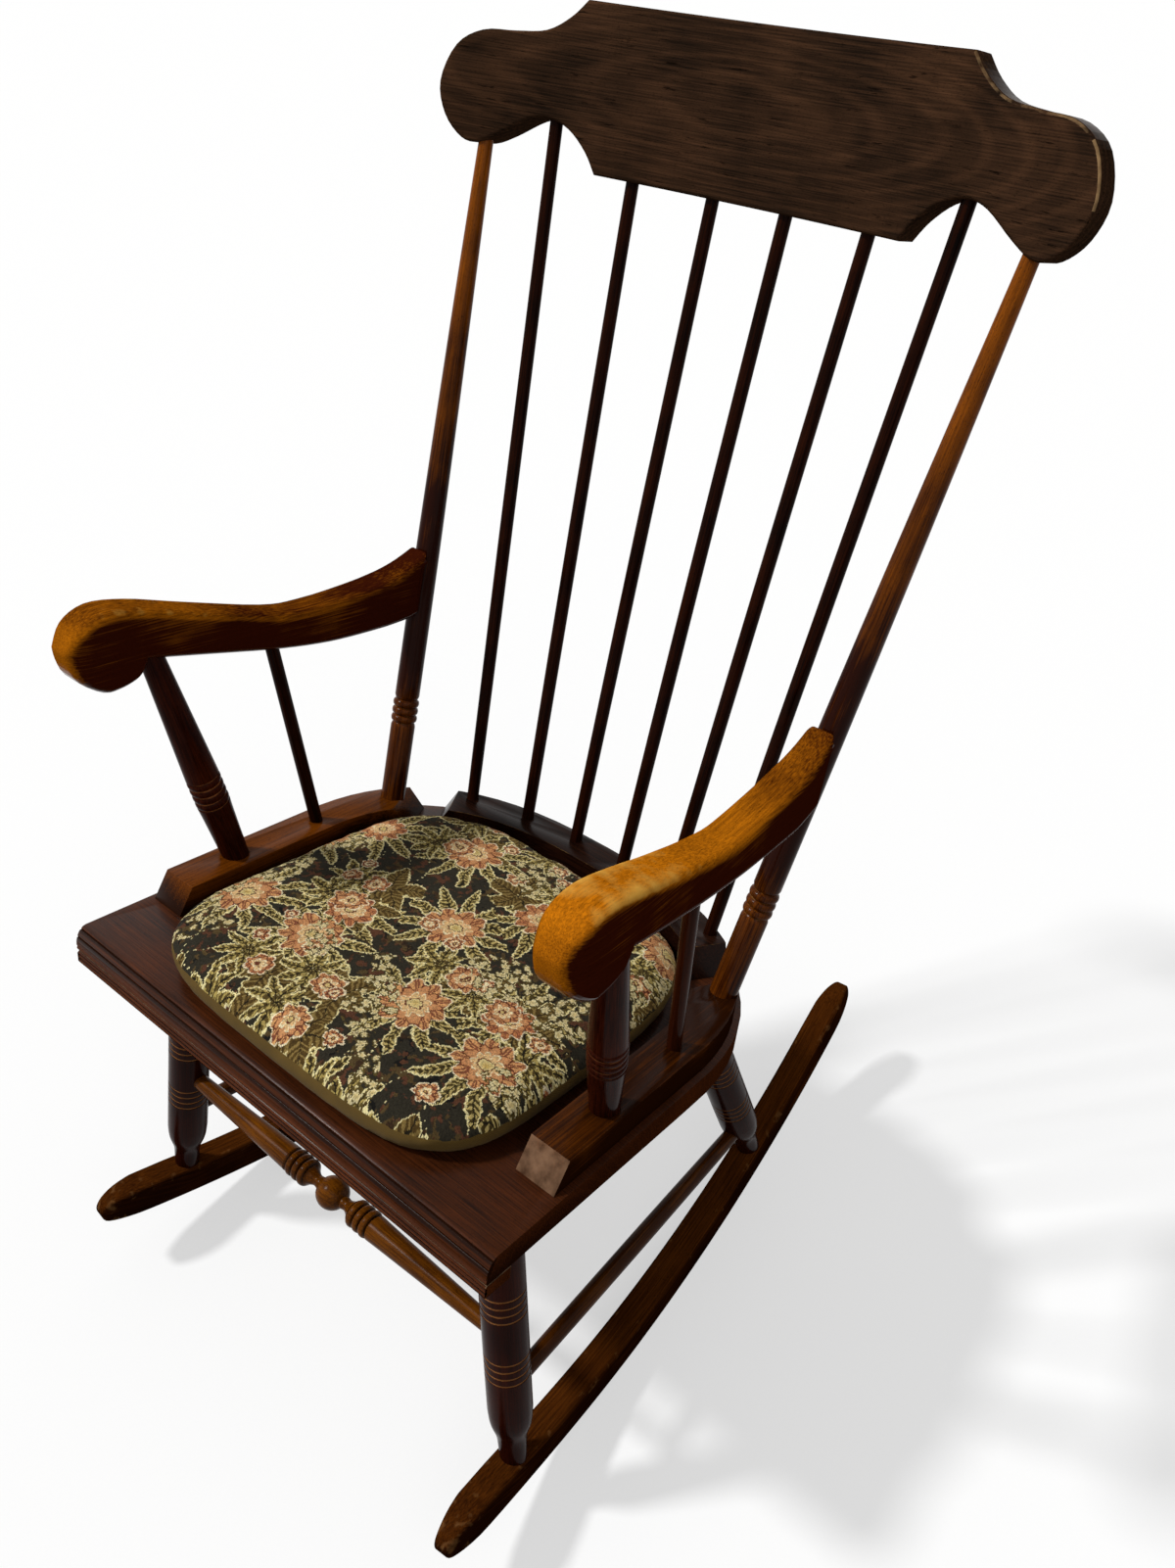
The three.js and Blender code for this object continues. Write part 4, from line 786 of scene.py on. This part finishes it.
class CHAIR_OT_posts(bpy.types.Operator):
    """Back posts and arm posts"""

    bl_idname = "chair.posts"
    bl_label = "Posts"

    def execute(self, context):
        honey = stained_beech("back posts", "post", context.scene.chair_colours.honey, 0.15, 0.05,
                              streaks=0.3, worn="c99a58")
        dark = stained_beech("arm posts", "leg", "54200b", 0.16, 0.018, streaks=0.35,
                             worn="a5673a")

        def back_profile(total):
            taper = unworn([(124, 12.2), (total * 0.42, 11.6), (total * 0.72, 9.3),
                            (total - 20, 6.6), (total, 6.5)], 6)
            return [(0, 12.2, 0), (92, 12.2, 0), (94.5, 11.4, 0), *beads(3, 96, 8, 10.4, 13, 0.35),
                    (121.5, 11.4, 0), *taper]

        def back_tone(share):
            """Honey-coloured at the top, with a slightly lighter foot."""
            foot = 1 - smoothstep(0.1, 0.3, share)
            return 0.1 + 0.85 * smoothstep(0.35, 0.95, share) + 0.35 * foot

        def arm_profile(total):
            low = unworn([(0, 12.4), (16, 12.4), (62, 14.4), (78, 15.4)], 5)
            high = unworn([(110, 15.4), (126, 14.8), (total - 22, 11), (total, 11)], 6)
            return [*low, *beads(4, 79, 7.5, 13.9, 15.7, 0.7), *high]

        for side in SIDES:
            turned("back_post_" + side, back_profile, honey, tone_for=back_tone)
            turned("arm_post_" + side, arm_profile, dark)
        return {"FINISHED"}


class CHAIR_OT_crest(bpy.types.Operator):
    """Crest rail: a shaped board, bowed and leaning back"""

    bl_idname = "chair.crest"
    bl_label = "Crest Rail"

    def execute(self, context):
        material = stained_beech("crest rail", "crest", "66452f", 0.36, 0.32, streaks=0.3,
                                 worn="b89468", rings=0.15, ring_mm=6, edges=0.28, scuffs=0.9)
        right = smooth_line([CREST_TOP_CORNER, *CREST_EAR, CREST_BOTTOM_CORNER], 4)
        left = [(-x, z) for x, z in reversed(right)]
        outline = [(x * MM, z * MM) for x, z in [*right, *left]]
        bm = plank(outline, CREST_THICKNESS * MM, context.scene.chair_sizes.crest_ease, 4)
        slice_up(bm, 20 * MM)
        grain, tone, _ = new_layers(bm)
        bm.normal_update()
        edge_wear = bm.faces.layers.float["edge_wear"]
        for face in bm.faces:
            # Only the rims of the right ear and shoulder in front are rubbed
            x, z, back = face.calc_center_median() / MM
            ear = x > 284 and 45 < z < 88 and back < 4
            shoulder = x > 170 and z > 90 and back < 4
            face[edge_wear] *= (2.2 if ear else 1.5 * shoulder) * (0.4 < abs(face.normal.z) < 0.9)
        radius = CREST_BOW_RADIUS * MM
        for v in bm.verts:
            x, z, back = v.co
            v[grain] = v.co
            v[tone] = 0.46
            v.co = (x, math.sqrt((radius + back) ** 2 - x**2) - radius, z)
        lean = Matrix.Translation(Vector(CREST_PLACE) * MM) @ Matrix.Rotation(-CREST_LEAN, 4, "X")
        bm.transform(SEAT @ lean)
        piece = finish_piece(bm, "crest_rail_shaped", material, ["crest_rail"], sharp=50,
                             polished=FORWARDS)
        return {"FINISHED"}


class CHAIR_OT_arms(bpy.types.Operator):
    """Scrolled arms, rounded at the nose and along their edges"""

    bl_idname = "chair.arms"
    bl_label = "Arms"

    def execute(self, context):
        material = stained_beech("arms", "arm", "ce780f", 0.16, 0.22, streaks=0.33, rings=0.03,
                                 worn="dca548", edges=0.0)
        top = smooth_line(ARM_TOP, 4)
        below = smooth_line(ARM_BELOW, 4)
        scroll = smooth_line(ARM_SCROLL, 3)
        outline = [(y * MM, z * MM) for y, z in [*top, *below[:-1], *scroll[:-1]]]
        for side, sign in SIDES.items():
            bm = plank(outline, ARM_BLANK, context.scene.chair_sizes.arm_ease, 5)
            slice_up(bm, 8 * MM)
            slice_up(bm, ARM_BLANK / 4.5, axis=2)
            grain, tone, wear = new_layers(bm)
            bm.normal_update()
            for v in bm.verts:
                y, z, out = v.co
                share = out / ARM_BLANK
                v[grain] = v.co
                v[tone], v[wear] = self.light_and_wear(side, y / MM, z / MM, share, v.normal)
                v.co = self.bend(y, z, share)
            bm.transform(SEAT @ Matrix.Scale(sign, 4, RIGHTWARDS))
            piece = finish_piece(bm, f"arm_{side}_shaped", material, ["arm_" + side], sharp=60,
                                 polished=UPWARDS)
        return {"FINISHED"}

    def light_and_wear(self, side, y, z, share, normal):
        """Tone and wear at a point of the blank, in mm behind the seat's front edge, mm above the
        seat and share of the width. The tone is painted light and shade: faces that turn up and the
        nose's front are pale as if lit, the sides dark as if shaded, the rear is darker, and the
        left arm's rims carry a painted highlight."""
        nose = smoothstep(0.1, 0.8, -normal.x) * smoothstep(222, 250, z) * (y < 30)
        darker = 1 - 0.55 * smoothstep(170, 340, y)
        # Faces that turn up are toned pale and the sides dark: painted light and shade
        lean = smoothstep(-0.15, 0.85, normal.y)
        # On the left arm the rims, half turned up, get a painted highlight
        if side == "left":
            middle = 0.5 - 0.12 * smoothstep(50, 200, y)
            lean = middle * lean + 1.7 * lean * (1 - lean)
        tone = 0.05 + 1.15 * max(lean * darker, 0.75 * nose)
        front = smoothstep(12, 45, y) * (1 - smoothstep(80, 200, y))
        rim = abs(2 * share - 1) ** 2
        upwards = smoothstep(0.15, 0.75, normal.y)
        wear = (0.05 + front * (0.3 + 0.6 * rim)) * upwards * (0.45 if side == "left" else 1)
        return tone, wear

    def bend(self, y, z, share):
        """Lays a point of the straight blank on the arm's swept plan and rounds the nose."""
        places, *sides = np.array(ARM_PLAN).T * MM
        inner, outer = (float(np.interp(y, places, side)) for side in sides)
        depth = min(max((y - places[0]) / ARM_NOSE, 0), 1)
        narrow = 1 - 0.34 * (1 - depth) ** 2
        return Vector(((inner + outer) / 2 + (outer - inner) * (share - 0.5) * narrow, y, z))


class CHAIR_OT_legs(bpy.types.Operator):
    """Four splayed legs with two bands of scribed rings"""

    bl_idname = "chair.legs"
    bl_label = "Legs"

    def execute(self, context):
        material = stained_beech("legs", "leg", "401507", 0.18, 0.025, streaks=0.35, worn="8e5e34")
        # Places of the two scribed bands, as shares of the leg between its tenons
        bands = {"front": (0.3947, 0.6193), "rear": (0.4148, 0.6509)}
        for place, shares in bands.items():

            def profile(total, shares=shares):
                start = LEG_TOP_TENON
                end = total - LEG_FOOT_TENON
                top = unworn([(start, 17.5), (28, 17.8), (46, 18.9), (66, 19.5)], 4)
                foot = unworn([(end - 65, LEG_RADIUS), (end - 49, 18.2), (end - 31, 13.6),
                               (end - 11, 12.3), (end, 12)], 5)
                upper, lower = (scribed(start + (end - start) * share) for share in shares)
                return [(0, 11, 0), (start, 11, 0), *top, *upper, *lower, *foot, (end, 7, 0),
                        (total, 7, 0)]

            for side in SIDES:
                turned(f"leg_{place}_{side}", profile, material, -UPWARDS)
        return {"FINISHED"}


class CHAIR_OT_stretchers(bpy.types.Operator):
    """Turned front stretcher with its ball, and the plain side and rear stretchers"""

    bl_idname = "chair.stretchers"
    bl_label = "Stretchers"

    def execute(self, context):
        # The near-black worn colour paints shade in the dips between the front stretcher's beads
        material = stained_beech("stretchers", "stretcher", "8e510c", 0.2, 0.045, streaks=0.35,
                                 worn="150903")

        def plain(total):
            return unworn([(0, 7.8), (total * 0.25, 8.2), (total / 2, 8.4), (total * 0.75, 8.2),
                           (total, 7.8)], 3)

        def with_ball(total):
            half = self.half_profile(total / 2)
            right = [(total / 2 + out, radius, worn) for out, radius, worn in half]
            left = [(total / 2 - out, radius, worn) for out, radius, worn in half[:0:-1]]
            return [*left, *right]

        turned("front_stretcher", with_ball, material, RIGHTWARDS)
        turned("rear_stretcher", plain, material, RIGHTWARDS)
        for side in SIDES:
            turned("side_stretcher_" + side, plain, material, -FORWARDS,
                           tone_for=lambda share: 0.25)
        return {"FINISHED"}

    def half_profile(self, half):
        """From the middle of the ball outwards: neck, three beads, swell and long taper."""
        radius = 15.6
        angles = [step * math.pi / 16 for step in range(7)]
        ball = [(radius * math.sin(a), radius * math.cos(a), 0) for a in angles]
        neck = unworn([(16, 6.2), (21, 5.6), (27, 8.6), (29, 10.8)], 4)
        taper = unworn([(56, 12.3), (90, 11), (half - 12, 7.6), (half, 7.6)], 6)
        return [*ball, *neck, *beads(3, 29.6, 8, 10.2, 13.4, 1.2), *taper]


class CHAIR_OT_runners(bpy.types.Operator):
    """Bent runners with rounded edges and finger-shaped tips"""

    bl_idname = "chair.runners"
    bl_label = "Runners"

    def execute(self, context):
        material = stained_beech("runners", "runner", "5c300c", 0.2, 0.05, worn="a87848",
                                 edges=0.22)
        front, rear = -RUNNER_FRONT_LENGTH, RUNNER_REAR_LENGTH
        tip = RUNNER_TIP_LENGTH
        rear_tip = [(rear - tip * reach, RUNNER_HEIGHT * rise) for reach, rise in RUNNER_TIP]
        front_tip = [(front + tip * reach, RUNNER_HEIGHT * rise) for reach, rise in RUNNER_TIP]
        # The straight stretches stop a little short of the tips
        stations = np.linspace(front + tip * 1.2, rear - tip * 1.2, RUNNER_STATIONS + 1)
        low = [(float(distance), 0) for distance in stations]
        high = [(distance, RUNNER_HEIGHT) for distance, _ in reversed(low)]
        line = [*low, *smooth_line(rear_tip, 3), *high, *smooth_line(front_tip[::-1], 3)]
        outline = [self.place(distance, rise) for distance, rise in line]
        for side, sign in SIDES.items():
            bm = plank(outline, RUNNER_WIDTH * MM, context.scene.chair_sizes.runner_ease, 4)
            grain, tone, wear = new_layers(bm)
            bm.normal_update()
            for v in bm.verts:
                y, z, out = v.co
                along = math.atan2(y, -z) * RUNNER_RADIUS * MM
                v[grain] = Vector((along, math.hypot(y, z), out))
                # Tops are toned lighter than the sides: painted light and shade
                v[tone] = 0.2 + 0.55 * smoothstep(0.2, 0.9, v.normal.y)
                v[wear] = 0.3 * smoothstep(0.26, 0.35, -along)
                to_tip = min(along - front * MM, rear * MM - along)
                narrow = 1 - 0.5 * max(1 - to_tip / (RUNNER_TAPER * MM), 0) ** 2.2
                v.co = ((out - RUNNER_WIDTH * MM / 2) * narrow, y, z)
            toe = Matrix.Rotation(math.atan(RUNNER_TOE_IN), 4, "Z")
            place = Matrix.Translation(Vector(RUNNER_PLACE) * MM)
            bm.transform(LEVEL @ Matrix.Scale(sign, 4, RIGHTWARDS) @ place @ toe)
            piece = finish_piece(bm, f"runner_{side}_bent", material, ["runner_" + side], sharp=50,
                                 polished=UPWARDS)
        return {"FINISHED"}

    def place(self, distance, rise):
        """A point at a distance along the underside and a height above it, seen from the arc's
        centre."""
        past = min(0, distance + RUNNER_ROUND_LENGTH)
        angle = max(distance, -RUNNER_ROUND_LENGTH) / RUNNER_RADIUS + past / RUNNER_FLAT_RADIUS
        shift = RUNNER_FLAT_RADIUS - RUNNER_RADIUS if past < 0 else 0
        flat = -RUNNER_ROUND_LENGTH / RUNNER_RADIUS
        radius = RUNNER_RADIUS + shift - rise
        y = radius * math.sin(angle) - shift * math.sin(flat)
        z = shift * math.cos(flat) - radius * math.cos(angle)
        return (y * MM, z * MM)


class CHAIR_OT_fasteners(bpy.types.Operator):
    """Screws under the seat and the dowels inside the arms"""

    bl_idname = "chair.fasteners"
    bl_label = "Screws and Dowels"

    def execute(self, context):
        metal = steel()
        beech = bare_beech()
        for name, node in nodes.items():
            if "screw" in name or "dowel" in name:
                node.data.materials.clear()
                node.data.materials.append(metal if "screw" in name else beech)
        return {"FINISHED"}


class CHAIR_OT_pad(bpy.types.Operator):
    """Loose seat pad: a filled tapestry cover with a plain side band"""

    bl_idname = "chair.pad"
    bl_label = "Seat Pad"

    def execute(self, context):
        pad = mesh_object("seat_pad", cad_mesh("seat_cushion"))
        self.fill(context, pad)
        self.dress(pad, tapestry(), band_cloth(context.scene.chair_colours.band))
        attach(pad, "cushion")
        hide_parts("seat_cushion")
        return {"FINISHED"}

    def fill(self, context, pad):
        """Remeshes the cover evenly, then lets pressure swell it no further than the cap."""
        remesh = pad.modifiers.new("even", "REMESH")
        remesh.mode = "VOXEL"
        remesh.voxel_size = PAD_MESH
        with context.temp_override(object=pad, active_object=pad, selected_objects=[pad]):
            bpy.ops.object.modifier_apply(modifier="even")
        rest = [v.co.copy() for v in pad.data.vertices]
        moved = rest
        cloth = pad.modifiers.new("filling", "CLOTH")
        cloth.settings.use_pressure = True
        cloth.settings.uniform_pressure_force = PAD_PRESSURE
        cloth.settings.effector_weights.gravity = 0
        cloth.settings.quality = 5
        cloth.point_cache.frame_start = 1
        cloth.point_cache.frame_end = PAD_FRAMES
        for step in range(1, PAD_FRAMES + 1):
            context.scene.frame_set(step)
        swollen = pad.evaluated_get(context.evaluated_depsgraph_get()).data
        moved = [v.co.copy() for v in swollen.vertices]
        pad.modifiers.remove(cloth)
        context.scene.frame_set(1)
        floor = min((TO_SEAT @ p).z for p in rest)
        swell = context.scene.chair_sizes.pad_swell
        for v, was, now in zip(pad.data.vertices, rest, moved):
            step = now - was
            if step.length > swell:
                step = step.normalized() * swell
            height = (TO_SEAT @ (was + step)).z - floor
            v.co = was + step + SEAT_UP * max(0, -height)
        pad.data.update()

    def dress(self, pad, top, side):
        """Parts the cover into its top and its side band along the seam, and softens both."""
        bm = bmesh.new()
        bm.from_mesh(pad.data)
        bmesh.ops.smooth_vert(bm, verts=bm.verts, factor=0.5, use_axis_x=True, use_axis_y=True,
                              use_axis_z=True)
        cut(bm, SEAT @ (UPWARDS * SEAM_HEIGHT), SEAT_UP, 0.1 * MERGE)
        bm.normal_update()
        for face in bm.faces:
            height = (TO_SEAT @ face.calc_center_median()).z
            face.material_index = 0 if height > SEAM_HEIGHT else 1
        bm.to_mesh(pad.data)
        bm.free()
        pad.data.materials.append(top)
        pad.data.materials.append(side)
        pad.data.shade_smooth()
        finer = pad.modifiers.new("soft", "SUBSURF")
        finer.levels = finer.render_levels = 1


class CHAIR_OT_stage(bpy.types.Operator):
    """Pale floor, soft studio light and the photograph's camera"""

    bl_idname = "chair.stage"
    bl_label = "Stage"

    def execute(self, context):
        scene = context.scene
        scene.view_settings.view_transform = "Standard"
        bm = bmesh.new()
        bmesh.ops.create_grid(bm, x_segments=1, y_segments=1, size=FLOOR_SIZE)
        bmesh.ops.translate(bm, vec=(0, 0, -FLOOR_DROP), verts=bm.verts)
        floor = mesh_object("studio_floor", bm)
        material, node = new_material("matt white paper")
        grain = node("TexNoise", node("TexCoord").outputs["Object"], Scale=400.0)
        ray = node("LightPath")
        tint = node("MixRGB", grain, rgba("fbfbfa"), rgba("ffffff"))
        tint = node("MixRGB", ray.outputs["Is Diffuse Ray"], tint, rgba("9a9a98"))
        # The paper glows a little to the camera, so that the shadow stays pale
        glow = node("Math.MULTIPLY", rays_that_see_white(node), FLOOR_GLOW)
        close_material(node, tint, grain, grain, 0.02 * MM, glow, **{"Specular IOR Level": 0.0})
        floor.data.materials.append(material)
        for name, place, spread, strength in LAMPS:
            light = bpy.data.lights.new("lamp_" + name, "SUN")
            light.angle = math.radians(spread)
            light.energy = strength
            lamp = new_object("lamp_" + name, light)
            lamp.location = place
            lamp.rotation_mode = "QUATERNION"
            lamp.rotation_quaternion = (-Vector(place)).to_track_quat("-Z", "Y")
        # The world lights the chair with a part of the white that polish and the camera see
        world = bpy.data.worlds.new("studio")
        scene.world = world
        node = node_adder(world)
        dim = node("Background", WHITE, WORLD_LIGHT)
        white = node("Background", WHITE, 1.0)
        node("OutputWorld", node("MixShader", rays_that_see_white(node), dim, white))
        camera = bpy.data.cameras.new("camera")
        camera.lens = CAMERA_LENS
        camera.sensor_width = CAMERA_SENSOR
        camera.shift_x, camera.shift_y = CAMERA_SHIFT
        holder = new_object("camera", camera)
        holder.location = CAMERA_PLACE
        holder.rotation_euler = [math.radians(a) for a in CAMERA_TURN]
        scene.camera = holder
        return {"FINISHED"}


STEPS = (
    CHAIR_OT_seat, CHAIR_OT_blocks, CHAIR_OT_spindles, CHAIR_OT_posts, CHAIR_OT_crest,
    CHAIR_OT_arms, CHAIR_OT_legs, CHAIR_OT_stretchers, CHAIR_OT_runners, CHAIR_OT_fasteners,
    CHAIR_OT_pad, CHAIR_OT_stage,
)


class CHAIR_PT_panel(bpy.types.Panel):
    """Lists the steps that dress the chair"""

    bl_idname = "CHAIR_PT_panel"
    bl_label = "Boston Rocking Chair"
    bl_space_type = "VIEW_3D"
    bl_region_type = "UI"
    bl_category = "Rocking Chair"

    def draw(self, context):
        for group in (context.scene.chair_sizes, context.scene.chair_colours):
            for name in group.bl_rna.properties.keys():
                if name not in ("rna_type", "name"):
                    self.layout.prop(group, name)
        for step in STEPS:
            self.layout.operator(step.bl_idname)


CLASSES = (ChairSizes, ChairColours, *STEPS, CHAIR_PT_panel)


def register():
    for made in CLASSES:
        bpy.utils.register_class(made)
    bpy.types.Scene.chair_sizes = PointerProperty(type=ChairSizes)
    bpy.types.Scene.chair_colours = PointerProperty(type=ChairColours)


def unregister():
    del bpy.types.Scene.chair_colours
    del bpy.types.Scene.chair_sizes
    for made in reversed(CLASSES):
        bpy.utils.unregister_class(made)


def main():
    register()
    for step in STEPS:
        group, name = step.bl_idname.split(".")
        getattr(getattr(bpy.ops, group), name)()


if __name__ == "__main__":
    main()
